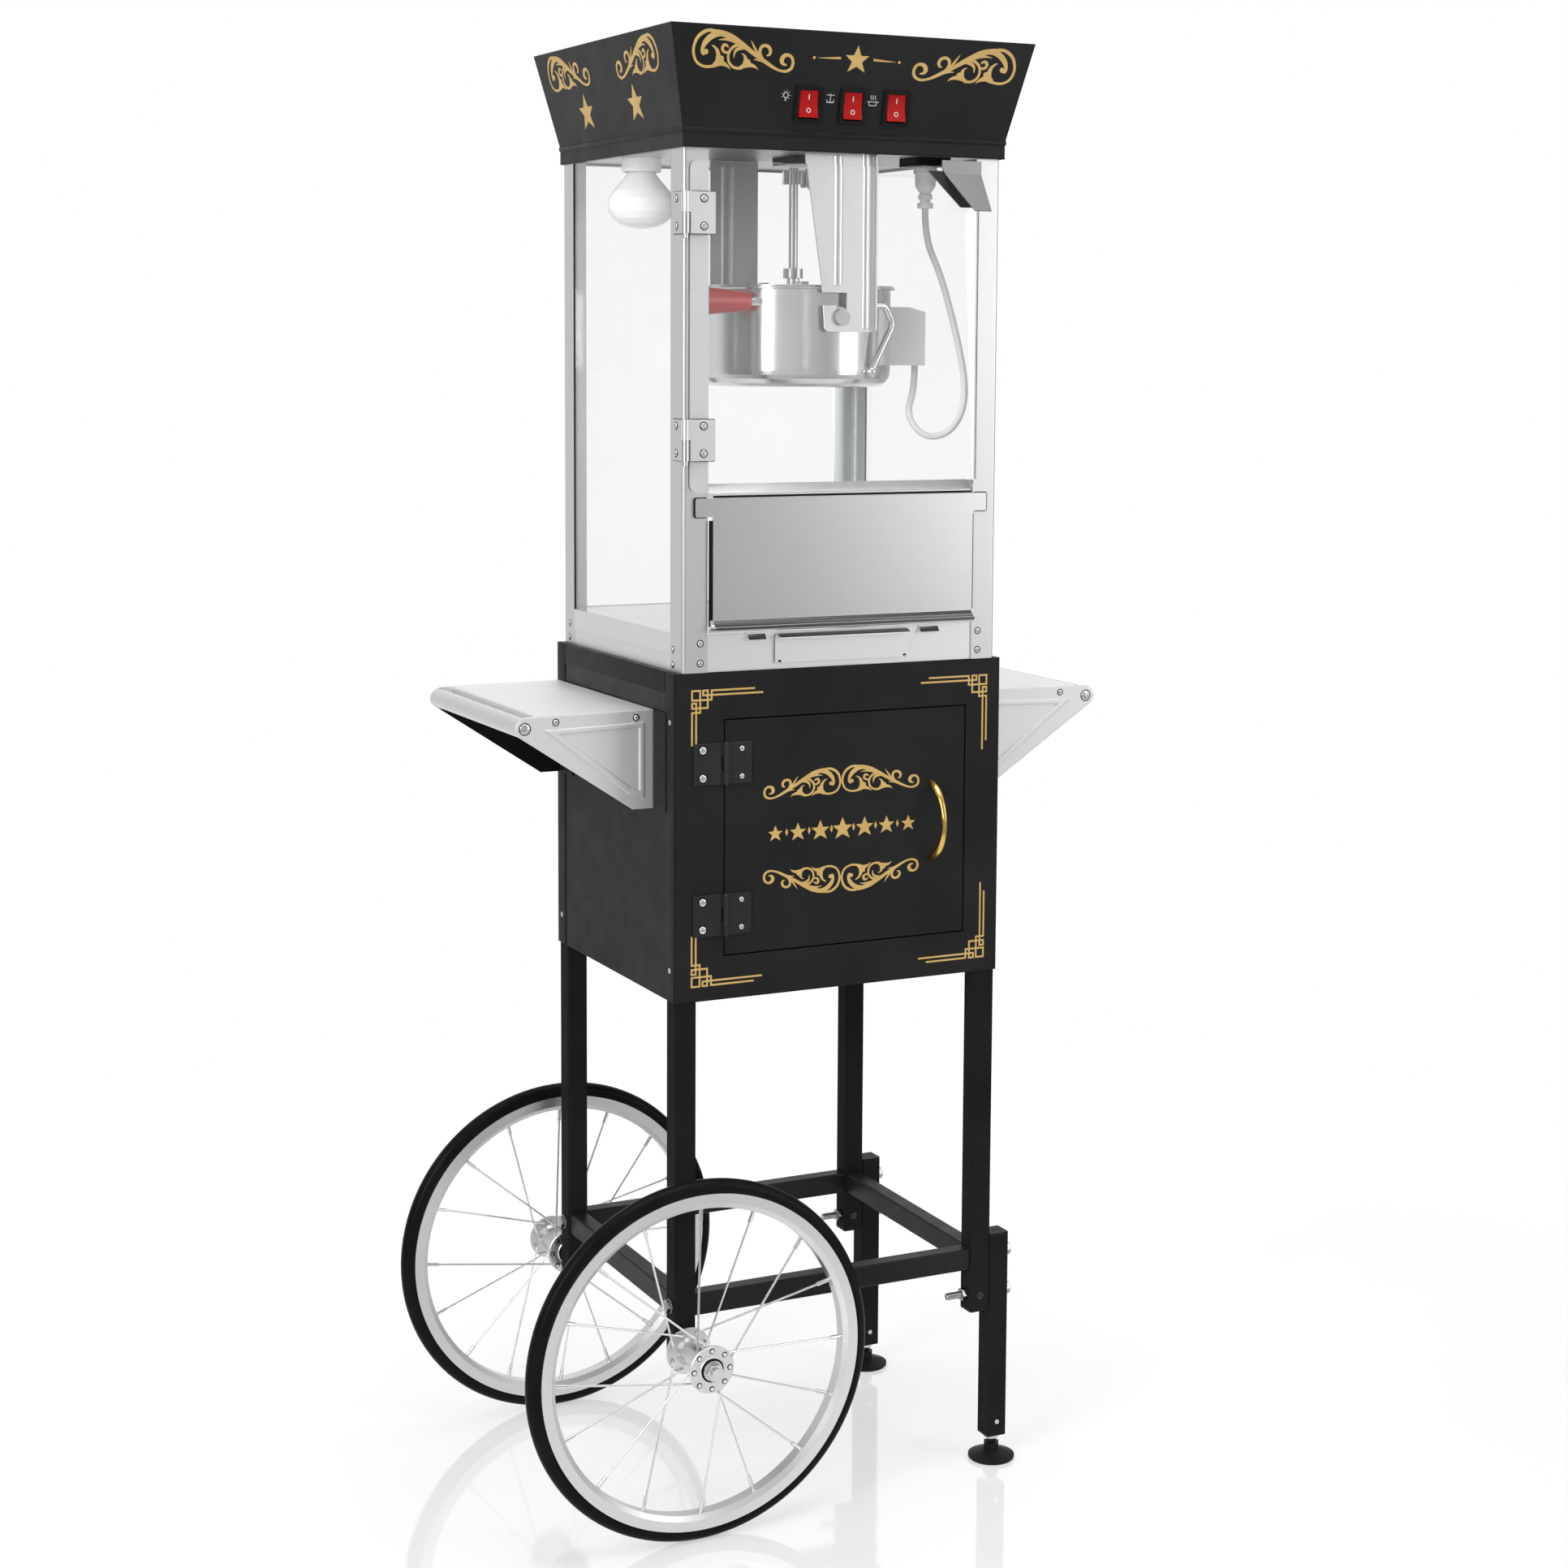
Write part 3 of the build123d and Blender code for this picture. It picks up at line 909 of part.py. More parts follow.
# ---- glass door ---------------------------------------------------------------------------------
gx, gy = G_PIN
with BuildPart() as door_hinge_posts:
    for z0 in G_HINGE_Z:
        zm, z1 = z0 + G_HINGE_TALL / 2, z0 + G_HINGE_TALL
        side(-0.6, 24, z0, z1, -193.6, -192, r=0.6)
        side(gy, 0.5, z0, zm - 0.2, -193.6, -192)
        rod_z(gx, gy, 4.2, z0, zm - 0.2)
        rod_z(gx, gy, 2.0, z0 - 5, z1)
        rod_z(gx, gy, 3.0, z0 - 5, z0)
        for dz in (8, 37):
            head_x(13.6, z0 + dz, -193.6, -1, r=3.2, tall=1.4)
save(door_hinge_posts, "door_hinge_posts")

with BuildPart() as door_window:
    front(GDOOR_X0, GDOOR_X1, GDOOR_Z0, GDOOR_Z1, GDOOR_Y0, GDOOR_Y1, r=8)
save(door_window, "door_window")

with BuildPart() as door_hinge_leaves:
    for z0 in G_HINGE_Z:
        zm, z1 = z0 + G_HINGE_TALL / 2, z0 + G_HINGE_TALL
        front(-185.8, -157, z0, z1, GDOOR_Y0 - 1.6, GDOOR_Y0, r=1.0)
        slab(gx, -185, GDOOR_Y0 - 1.6, GDOOR_Y0, zm + 0.2, z1)
        rod_z(gx, gy, 4.2, zm + 0.2, z1)
        rod_z(gx, gy, 2.06, zm, z1 + 1, Mode.SUBTRACT)
        for dz in (8, 37):
            head_y(-170.3, z0 + dz, GDOOR_Y0 - 1.6, -1, r=3.4, tall=1.4)
save(door_hinge_leaves, "door_hinge_leaves")

with BuildPart() as door_handle:
    y = GDOOR_Y0
    poly_yz([(y, 1499.5), (y, 1484), (y - 23.7, 1444), (y - 25.2, 1444.7), (y - 1.5, 1484.7), (y - 1.5, 1499.5)], 115, 164.5)
    poly_xz([(100, 1491), (115, 1491), (144.5, 1443), (144.5, 1430), (100, 1430)], -60, 10, Mode.SUBTRACT)
save(door_handle, "door_handle")

with BuildPart() as door_backing:
    poly_xz([(100, 1488), (156, 1488), (156, 1449), (142, 1449)], GDOOR_Y1, GDOOR_Y1 + 2.5)
save(door_backing, "door_backing")

# ---- serving flap -------------------------------------------------------------------------------
with BuildPart() as front_flap:
    fy = FLAP_Y
    front(FLAP_X0, FLAP_X1, FLAP_Z, FLAP_TOP, fy - 0.75, fy + 0.75)
    for x0, x1 in ((-178, FLAP_X0 + 1), (FLAP_X1 - 1, 178)):
        front(x0, x1, 1114, 1134, fy - 0.75, fy + 0.75, r=2.0)
    rod_x(fy, FLAP_Z, 2.2, -161, 163)
    # sheet curled forward along the lower edge, and a folded hem along the upper one
    poly_yz([(fy - 0.5, 1003), (fy - 0.75, 1003), (fy - 1.1, 1000.2), (fy - 2.2, 998), (fy - 4.2, 996.6), (fy - 7.5, 996.2), (fy - 7.8, 995.5), (fy - 7.4, 994.9), (fy - 3.8, 995.2), (fy - 0.5, 996.4)], -161, 163)
    poly_yz([(fy + 0.5, FLAP_TOP), (fy + 2.2, FLAP_TOP), (fy + 2.2, FLAP_TOP - 9), (fy + 0.5, FLAP_TOP - 9)], FLAP_X0, FLAP_X1)
    # stiffening fold behind the upper edge, whose weight leans the flap shut
    poly_yz([(fy + 0.5, 1121.8), (fy + 18, 1121.8), (fy + 18, 1123.2), (fy + 0.5, 1123.2)], FLAP_X0, FLAP_X1)
    # side returns
    for x0, x1 in ((FLAP_X0, FLAP_X0 + 1.2), (FLAP_X1 - 1.2, FLAP_X1)):
        side(fy + 0.5, fy + 2.4, 1000, 1112, x0, x1)
save(front_flap, "front_flap")

# ---- fixed screws -------------------------------------------------------------------------------
with BuildPart() as panel_screws:
    for z in (978.4, 957.0):
        for x in (-170.8, 170.8):
            head_y(x, z, 0, -1, r=3.2)
            head_y(x, z, CASE_D, 1, r=3.2)
    for z in (970.5, 954.1):
        for y in (25.5, CASE_D - 17):
            head_x(y, z, -CASE_W2, -1, r=3.0)
            head_x(y, z, CASE_W2, 1, r=3.0)
    for y, z in ((13, 893), (13, 622), (CAB_D - 13, 622)):
        head_x(y, z, -HALF_W, -1, r=3.4)
        head_x(y, z, HALF_W, 1, r=3.4)
    for z0 in CAB_HINGE_Z:
        for dz in (7.3, 37.7):
            head_y(-168, z0 + dz, -1.6, -1, r=4.4, tall=2.2)
    for s in (-1, 1):
        for x, z, r in ((tip_x, tip_z, 6.0), (315, 894.5, 3.2), (222, 894.5, 3.2)):
            head_y(s * x, z, SHELF_Y0, -1, r=r, tall=2.0)
            head_y(s * x, z, SHELF_Y1, 1, r=r, tall=2.0)
save(panel_screws, "panel_screws")
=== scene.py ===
"""Looks of the popcorn machine and its cart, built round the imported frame.
Lengths below are in millimetres, measured from the middle of the cabinet's front face at floor
level (x to the right, y to the back, z up); P() carries them to the row frame in metres."""

from math import acos, atan2, cos, degrees, pi, radians, sin, sqrt, tan

import bmesh
import bpy
import numpy as np
from mathutils import Matrix, Vector
from mathutils.geometry import delaunay_2d_cdt


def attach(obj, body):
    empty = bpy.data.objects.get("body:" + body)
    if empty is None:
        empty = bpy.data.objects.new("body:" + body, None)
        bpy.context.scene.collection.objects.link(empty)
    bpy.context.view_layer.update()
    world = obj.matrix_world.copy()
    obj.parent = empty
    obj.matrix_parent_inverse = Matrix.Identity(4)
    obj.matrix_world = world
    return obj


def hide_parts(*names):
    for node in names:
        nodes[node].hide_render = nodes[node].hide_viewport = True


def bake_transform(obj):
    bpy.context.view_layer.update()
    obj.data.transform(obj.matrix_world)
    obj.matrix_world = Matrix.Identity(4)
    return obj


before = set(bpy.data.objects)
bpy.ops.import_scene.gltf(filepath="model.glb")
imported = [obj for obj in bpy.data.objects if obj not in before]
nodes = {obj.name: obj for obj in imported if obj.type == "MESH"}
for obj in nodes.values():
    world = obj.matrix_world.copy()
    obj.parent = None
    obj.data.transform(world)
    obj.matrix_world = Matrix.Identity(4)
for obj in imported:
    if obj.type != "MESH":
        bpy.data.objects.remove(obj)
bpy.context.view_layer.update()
scene = bpy.context.scene
CX, CY = 13.16, -173.5


def P(x, y, z):
    return Vector(((x + CX) / 1000, (y + CY) / 1000, z / 1000))


ROOM = [(0.0, 1.0), (0.12, 0.86), (0.22, 0.70), (0.36, 0.80), (0.5, 0.66), (0.62, 0.42), (0.8, 0.34), (0.9, 0.38), (0.97, 0.52), (1.0, 0.56)]  # from the backdrop round to the front
CEILING = 0.9


# ---- camera -------------------------------------------------------------------------------------
yaw, pitch, roll = radians(26.39), radians(-5.909), radians(0.361)
fwd = Vector((sin(yaw) * cos(pitch), cos(yaw) * cos(pitch), sin(pitch)))
right = Vector((cos(yaw), -sin(yaw), 0))
up = right.cross(fwd)
r2 = cos(roll) * right + sin(roll) * up
u2 = -sin(roll) * right + cos(roll) * up
cam_data = bpy.data.cameras.new("camera")
cam_data.sensor_width = 36.0
cam_data.lens = 62.257
cam_data.shift_x = -0.01579
cam_data.shift_y = -0.10274
cam_data.clip_end = 60
cam = bpy.data.objects.new("camera", cam_data)
scene.collection.objects.link(cam)
axes = Matrix((r2, u2, -fwd)).transposed().to_4x4()
cam.matrix_world = Matrix.Translation(P(-1349.1, -2635.631, 1300.153)) @ axes
scene.camera = cam


# ---- mesh helpers -------------------------------------------------------------------------------
def link(name, mesh, body, mat, smooth=False):
    o = bpy.data.objects.new(name, mesh)
    scene.collection.objects.link(o)
    if mat is not None:
        mesh.materials.append(mat)
    if smooth:
        for p in mesh.polygons:
            p.use_smooth = True
    if body:
        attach(o, body)
    return o


def from_bm(name, bm, body, mat, smooth=False):
    bmesh.ops.recalc_face_normals(bm, faces=bm.faces)
    me = bpy.data.meshes.new(name)
    bm.to_mesh(me)
    bm.free()
    return link(name, me, body, mat, smooth)


def lathe(bm, origin, axis, profile, seg=32):
    """Adds a closed turned shape; the profile is (radius, height along the axis) in mm and starts and ends on the axis."""
    a = Vector(axis).normalized()
    e1 = a.orthogonal().normalized()
    e2 = a.cross(e1)
    rows = []
    for r, h in profile:
        if r < 1e-6:
            rows.append([bm.verts.new(origin + a * (h / 1000))])
        else:
            rows.append([bm.verts.new(origin + a * (h / 1000) + (e1 * cos(2 * pi * k / seg) + e2 * sin(2 * pi * k / seg)) * (r / 1000)) for k in range(seg)])
    for lo, hi in zip(rows, rows[1:]):
        for k in range(seg):
            j = (k + 1) % seg
            if len(lo) == 1 and len(hi) == 1:
                continue
            if len(lo) == 1:
                bm.faces.new((lo[0], hi[j], hi[k]))
            elif len(hi) == 1:
                bm.faces.new((lo[k], lo[j], hi[0]))
            else:
                bm.faces.new((lo[k], lo[j], hi[j], hi[k]))


def spline(pts, n):
    """Points along a smooth curve through rows of numbers (position and half width)."""
    q = [np.array(p, float) for p in pts]
    q = [2 * q[0] - q[1]] + q + [2 * q[-1] - q[-2]]
    out = []
    for i in range(1, len(q) - 2):
        p0, p1, p2, p3 = q[i - 1 : i + 3]
        for k in range(n):
            t = k / n
            out.append(0.5 * (2 * p1 + (p2 - p0) * t + (2 * p0 - 5 * p1 + 4 * p2 - p3) * t * t + (3 * p1 - p0 - 3 * p2 + p3) * t**3))
    out.append(q[-2])
    return out


def ribbon(pts, n=7):
    """Quads of a stroke of varying width; pts are (u, v, half width)."""
    s = spline(pts, n)
    rails = []
    for i, p in enumerate(s):
        d = s[min(i + 1, len(s) - 1)][:2] - s[max(i - 1, 0)][:2]
        d = d / (np.hypot(*d) + 1e-9)
        nrm = np.array((-d[1], d[0])) * max(p[2], 0.05)
        rails.append((p[:2] + nrm, p[:2] - nrm))
    quads = [[a[0], a[1], b[1], b[0]] for a, b in zip(rails, rails[1:])]
    return quads


def bar(u0, v0, u1, v1, half):
    """A straight stroke with square ends that reach past its points."""
    d = np.array((u1 - u0, v1 - v0), float)
    d /= np.hypot(*d)
    nrm = np.array((-d[1], d[0])) * half
    a, b = np.array((u0, v0)) - d * half, np.array((u1, v1)) + d * half
    return [a + nrm, a - nrm, b - nrm, b + nrm]


def disc(u, v, r, n=20):
    return [np.array((u + r * cos(2 * pi * k / n), v + r * sin(2 * pi * k / n))) for k in range(n)]


def ring(u, v, r, half, n=24, a0=0.0, a1=360.0):
    quads = []
    for k in range(n):
        a, b = radians(a0 + (a1 - a0) * k / n), radians(a0 + (a1 - a0) * (k + 1) / n)
        quads.append([np.array((u + q * cos(w), v + q * sin(w))) for q, w in ((r + half, a), (r - half, a), (r - half, b), (r + half, b))])
    return quads


def print_layer(name, shapes, place, lift, body, mat):
    """One thin printed layer: the union of flat shapes, laid on a face. place(u, v, h) gives the point h mm off the face."""
    coords, faces = [], []
    for s in shapes:
        area = sum(s[i - 1][0] * s[i][1] - s[i][0] * s[i - 1][1] for i in range(len(s)))
        s = s if area > 0 else s[::-1]
        faces.append(list(range(len(coords), len(coords) + len(s))))
        coords += [Vector((float(p[0]), float(p[1]))) for p in s]
    vv, ee, ff, _, _, source = delaunay_2d_cdt(coords, [], faces, 1, 1e-4)
    ff = [f for f, own in zip(ff, source) if own]  # leaves the gaps between strokes open
    bm = bmesh.new()
    top = [bm.verts.new(place(p[0], p[1], lift)) for p in vv]
    low = [bm.verts.new(place(p[0], p[1], -0.02)) for p in vv]
    used = {}
    for f in ff:
        bm.faces.new([top[i] for i in f])
        bm.faces.new([low[i] for i in reversed(f)])
        for i in range(len(f)):
            a, b = f[i], f[(i + 1) % len(f)]
            if (b, a) in used:
                del used[(b, a)]
            else:
                used[(a, b)] = True
    for a, b in used:
        bm.faces.new((top[b], top[a], low[a], low[b]))
    bmesh.ops.delete(bm, geom=[v for v in bm.verts if not v.link_faces], context="VERTS")
    return from_bm(name, bm, body, mat)


# ---- materials ----------------------------------------------------------------------------------
class Nodes:
    def __init__(self, name):
        self.mat = bpy.data.materials.new(name)
        self.mat.use_nodes = True
        self.t = self.mat.node_tree
        self.b = self.t.nodes["Principled BSDF"]
        self.out = self.t.nodes["Material Output"]

    def add(self, kind, **values):
        n = self.t.nodes.new(kind)
        for k, v in values.items():
            if hasattr(n, k):
                setattr(n, k, v)
            else:
                n.inputs[k].default_value = v
        return n

    def link(self, a, b):
        self.t.links.new(a, b)

    def set(self, **values):
        for k, v in values.items():
            self.b.inputs[k.replace("_", " ")].default_value = v

    def coords(self, scale):
        c = self.add("ShaderNodeTexCoord")
        m = self.add("ShaderNodeMapping")
        m.inputs["Scale"].default_value = scale
        self.link(c.outputs["Object"], m.inputs["Vector"])
        return m.outputs["Vector"]

    def noise(self, scale, detail=3.0, stretch=(1, 1, 1), rough=0.5):
        n = self.add("ShaderNodeTexNoise", Scale=scale, Detail=detail, Roughness=rough)
        self.link(self.coords(stretch), n.inputs["Vector"])
        return n.outputs["Fac"]

    def ramp(self, fac, stops):
        n = self.add("ShaderNodeValToRGB")
        while len(n.color_ramp.elements) < len(stops):
            n.color_ramp.elements.new(0.5)
        for e, (pos, col) in zip(n.color_ramp.elements, stops):
            e.position = pos
            e.color = (*col, 1)
        self.link(fac, n.inputs["Fac"])
        return n.outputs["Color"]

    def spread(self, fac, lo, hi, a=0.3, b=0.7):
        n = self.add("ShaderNodeMapRange")
        for k, v in (("From Min", a), ("From Max", b), ("To Min", lo), ("To Max", hi)):
            n.inputs[k].default_value = v
        self.link(fac, n.inputs["Value"])
        return n.outputs["Result"]

    def bump(self, fac, strength, distance, edge=0.0):
        """Fine relief, and corners that look rounded to the given radius in mm."""
        n = self.add("ShaderNodeBump", Strength=strength, Distance=distance)
        self.link(fac, n.inputs["Height"])
        self.link(n.outputs["Normal"], self.b.inputs["Normal"])
        if edge:
            e = self.add("ShaderNodeBevel", samples=4)
            e.inputs["Radius"].default_value = edge / 1000
            self.link(e.outputs["Normal"], n.inputs["Normal"])


def coat(name, lo, hi, rough=(0.34, 0.44), grain=900.0, strength=0.18, edge=1.2, spec=0.07):
    """Powder coat: fine orange peel, a little change of tone."""
    m = Nodes(name)
    m.set(Specular_IOR_Level=spec)
    m.link(m.ramp(m.noise(9, 4), [(0.35, lo), (0.65, hi)]), m.b.inputs["Base Color"])
    fine = m.noise(grain, 2)
    m.link(m.spread(m.noise(35, 4), *rough), m.b.inputs["Roughness"])
    m.bump(fine, strength, 0.00025, edge)
    return m.mat


def steel(name, tone, rough, stretch, scale=60.0, strength=0.08, tint=(1, 1, 1.01), edge=0.5):
    """Brushed sheet: fine lines drawn out along one direction, in tone, roughness and relief."""
    m = Nodes(name)
    m.set(Metallic=1.0)
    lines = m.noise(scale, 5, stretch, 0.65)
    cloud = m.noise(5, 3)
    lo, hi = tone
    m.link(m.ramp(lines, [(0.3, tuple(lo * t for t in tint)), (0.7, tuple(hi * t for t in tint))]), m.b.inputs["Base Color"])
    mixed = m.add("ShaderNodeMath", operation="MULTIPLY_ADD")
    m.link(cloud, mixed.inputs[0])
    mixed.inputs[1].default_value = 0.35
    m.link(lines, mixed.inputs[2])
    m.link(m.spread(mixed.outputs[0], *rough, a=0.4, b=0.95), m.b.inputs["Roughness"])
    m.bump(lines, strength, 0.0002, edge)
    return m.mat


def shaded_steel(name, tone, rough, stretch, spans, dark, scale=60.0, strength=0.08, edge=0.5, below=2000.0):
    """Brushed sheet that darkens over a span of depth (y in mm), below a height: painted shade."""
    mat = steel(name, tone, rough, stretch, scale, strength, edge=edge)
    tree = mat.node_tree
    b = tree.nodes["Principled BSDF"]
    light = b.inputs["Base Color"].links[0].from_socket
    where = tree.nodes.new("ShaderNodeTexCoord")
    split = tree.nodes.new("ShaderNodeSeparateXYZ")
    tree.links.new(where.outputs["Object"], split.inputs[0])
    y0, y1 = ((y + CY) / 1000 for y in spans)
    inside = []
    for axis, edge_y, up_lo, up_hi in (("Y", y0, 0.0, 1.0), ("Y", y1, 1.0, 0.0), ("Z", below / 1000, 1.0, 0.0)):
        r = tree.nodes.new("ShaderNodeMapRange")
        for k, v in (("From Min", edge_y - 0.0003), ("From Max", edge_y + 0.0003), ("To Min", up_lo), ("To Max", up_hi)):
            r.inputs[k].default_value = v
        tree.links.new(split.outputs[axis], r.inputs["Value"])
        inside.append(r.outputs["Result"])
    both = inside[0]
    for other in inside[1:]:
        times = tree.nodes.new("ShaderNodeMath")
        times.operation = "MULTIPLY"
        tree.links.new(both, times.inputs[0])
        tree.links.new(other, times.inputs[1])
        both = times.outputs[0]
    mix = tree.nodes.new("ShaderNodeMix")
    mix.data_type = "RGBA"
    mix.blend_type = "MULTIPLY"
    tree.links.new(both, mix.inputs[0])
    tree.links.new(light, mix.inputs[6])
    mix.inputs[7].default_value = (dark, dark, dark, 1)
    tree.links.new(mix.outputs[2], b.inputs["Base Color"])
    return mat


def plastic(name, lo, hi, rough, grain=500.0, strength=0.1, noise_scale=20.0, coat_weight=0.0, spec=0.4, edge=0.5):
    m = Nodes(name)
    m.set(Specular_IOR_Level=spec)
    m.link(m.ramp(m.noise(noise_scale, 3), [(0.3, lo), (0.7, hi)]), m.b.inputs["Base Color"])
    m.link(m.spread(m.noise(grain / 6, 3), *rough), m.b.inputs["Roughness"])
    if coat_weight:
        m.set(Coat_Weight=coat_weight, Coat_Roughness=0.08)
    m.bump(m.noise(grain, 2), strength, 0.0002, edge)
    return m.mat


def sheet_glass(name, tint, clear_part=0.985):
    """Clear sheet glass that lets lamps through, with a faint film."""
    m = Nodes(name)
    m.set(Base_Color=(*tint, 1), IOR=1.46)
    m.b.inputs["Transmission Weight"].default_value = clear_part
    m.link(m.spread(m.noise(7, 4), 0.0, 0.012), m.b.inputs["Roughness"])
    path = m.add("ShaderNodeLightPath")
    clear = m.add("ShaderNodeBsdfTransparent")
    clear.inputs["Color"].default_value = (*tint, 1)
    mix = m.add("ShaderNodeMixShader")
    m.link(path.outputs["Is Shadow Ray"], mix.inputs["Fac"])
    m.link(m.b.outputs["BSDF"], mix.inputs[1])
    m.link(clear.outputs["BSDF"], mix.inputs[2])
    m.link(mix.outputs["Shader"], m.out.inputs["Surface"])
    return m.mat


M = {}
M["black_coat"] = coat("black_powder_coat", (0.0155, 0.0155, 0.0157), (0.0205, 0.0205, 0.0208), (0.40, 0.50), edge=2.0, spec=0.06)
M["rail_coat"] = coat("black_rail_coat", (0.0125, 0.0125, 0.0127), (0.0170, 0.0170, 0.0172), edge=1.6, spec=0.12)
M["leg_coat"] = coat("black_leg_coat", (0.0120, 0.0120, 0.0122), (0.0165, 0.0165, 0.0167), (0.58, 0.70), edge=1.2, spec=0.03)
M["canopy_coat"] = coat("black_canopy_coat", (0.0135, 0.0135, 0.0137), (0.0175, 0.0175, 0.0178), edge=3.5, spec=0.12)
M["black_gloss"] = coat("black_hinge_coat", (0.009, 0.009, 0.0095), (0.014, 0.014, 0.0145), (0.24, 0.32), 1200, 0.10, spec=0.5)
M["steel_h"] = steel("steel_brushed_across", (0.59, 0.66), (0.26, 0.36), (1, 6, 90))
M["steel_v"] = steel("steel_brushed_upright", (0.63, 0.69), (0.36, 0.44), (90, 90, 1))
# the rear hanger, past y 60 mm, takes 0.42 of the tone: painted shade
M["hanger"] = shaded_steel("hanger_steel_painted_shade", (0.56, 0.62), (0.30, 0.38), (60, 60, 1), (60.0, 400.0), 0.42)
M["handle"] = steel("handle_steel", (0.23, 0.27), (0.30, 0.40), (60, 1, 1))
M["steel_y"] = steel("steel_brushed_depthwise", (0.62, 0.70), (0.22, 0.32), (90, 1, 40))
M["shelf"] = steel("steel_matt_shelf", (0.80, 0.86), (0.52, 0.62), (90, 1, 40))
M["heater"] = steel("steel_heater_box", (0.64, 0.70), (0.36, 0.46), (25, 25, 25), 80, 0.05)
M["satin"] = steel("steel_satin", (0.74, 0.80), (0.36, 0.46), (25, 25, 25), 80, 0.05)
# the shelf brackets go nearly black between y 56 and 337 mm, below 876 mm, on their inner faces: painted shade and
# dark reflection
M["plate"] = shaded_steel("steel_matt_plate_painted_shade", (0.78, 0.84), (0.56, 0.66), (20, 20, 20), (56.2, 336.8), 0.03, 90, 0.04, edge=2.2, below=876.0)
M["panel"] = steel("steel_matt_panel", (0.76, 0.82), (0.42, 0.52), (2, 2, 60), 60, 0.05)
M["pot"] = steel("steel_spun", (0.70, 0.78), (0.13, 0.20), (1, 1, 120), 40, 0.04)
M["bolt"] = steel("bolt_steel", (0.30, 0.40), (0.16, 0.26), (30, 30, 30), 60, 0.06)
M["zinc"] = steel("zinc_plated", (0.62, 0.74), (0.20, 0.30), (30, 30, 30), 60, 0.06, (1, 1, 1.02))
M["hinge"] = steel("hinge_steel", (0.60, 0.68), (0.14, 0.22), (30, 30, 30), 80, 0.04)
M["alu"] = steel("rim_aluminium", (0.68, 0.74), (0.32, 0.42), (14, 14, 14), 50, 0.05)
M["spoke"] = steel("spoke_steel", (0.72, 0.80), (0.14, 0.22), (40, 40, 40), 50, 0.03)
M["gear"] = steel("gear_steel", (0.48, 0.56), (0.24, 0.36), (40, 40, 10), 60, 0.06)
M["ceiling"] = steel("steel_shaded_plate", (0.34, 0.40), (0.34, 0.44), (90, 1, 40))
# black rubber for the sill's gasket and the window strips, and for the pads and rings round the flap's ears, hinge
# leaves and screw heads, which are painted shade
M["rubber_line"] = plastic("black_gasket_and_painted_shade", (0.008, 0.008, 0.008), (0.012, 0.012, 0.012), (0.45, 0.58), spec=0.08)
# dark steel on the flap's curl and sides, the drawer's pull and the clips: painted shade and dark reflection
M["dark_steel"] = steel("steel_painted_shade_strip", (0.10, 0.14), (0.30, 0.40), (1, 60, 60))
M["sill_trim"] = steel("steel_sill_trim", (0.60, 0.68), (0.30, 0.40), (1, 60, 60))
M["glass_edge"] = plastic("glass_ground_edge", (0.10, 0.115, 0.11), (0.14, 0.155, 0.15), (0.12, 0.22), 300, 0.03)
M["lamp_collar"] = plastic("lamp_collar", (0.74, 0.74, 0.73), (0.82, 0.82, 0.81), (0.34, 0.46), 500, 0.06)
M["motor"] = steel("motor_case", (0.07, 0.11), (0.30, 0.42), (30, 30, 30), 60, 0.06)
M["gold_metal"] = steel("gold_plated", (0.78, 0.92), (0.12, 0.22), (40, 40, 6), 40, 0.03, (0.86, 0.56, 0.17))
M["black_plastic"] = plastic("black_plastic", (0.009, 0.009, 0.009), (0.013, 0.013, 0.013), (0.38, 0.50), spec=0.1)
M["tyre"] = plastic("tyre_rubber", (0.006, 0.006, 0.006), (0.010, 0.010, 0.010), (0.26, 0.34), 700, 0.12, spec=0.05)
M["red_rocker"] = plastic("red_rocker", (0.38, 0.002, 0.002), (0.48, 0.004, 0.004), (0.22, 0.32), 300, 0.03, 12, 0.06, spec=0.2)
M["red_grip"] = plastic("red_grip", (0.42, 0.012, 0.012), (0.52, 0.02, 0.02), (0.26, 0.36), 300, 0.08, 12, 0.2)
M["cord"] = plastic("cord_sheath", (0.66, 0.66, 0.65), (0.74, 0.74, 0.73), (0.40, 0.52), 600, 0.1)
M["plug"] = plastic("plug_plastic", (0.88, 0.88, 0.87), (0.93, 0.93, 0.92), (0.34, 0.46), 500, 0.08)
M["white_print"] = plastic("white_print", (0.62, 0.62, 0.62), (0.78, 0.78, 0.78), (0.42, 0.52), 700, 0.08)
M["gold_print"] = plastic("gold_print", (0.56, 0.36, 0.115), (0.66, 0.44, 0.155), (0.36, 0.46), 700, 0.08, 40)
M["glass"] = sheet_glass("clear_glass", (0.985, 0.995, 0.99))
M["door_glass"] = sheet_glass("door_glass", (0.985, 0.995, 0.99), 0.978)


def opal(name):
    """Frosted lamp glass."""
    m = Nodes(name)
    m.link(m.ramp(m.noise(30, 3), [(0.3, (0.84, 0.84, 0.835)), (0.7, (0.90, 0.90, 0.895))]), m.b.inputs["Base Color"])
    m.link(m.spread(m.noise(60, 3), 0.12, 0.22), m.b.inputs["Roughness"])
    m.set(Subsurface_Weight=0.15, Subsurface_Scale=0.01, Subsurface_Radius=(1, 1, 1))
    m.bump(m.noise(500, 2), 0.05, 0.0001)
    return m.mat


M["opal"] = opal("frosted_lamp_glass")

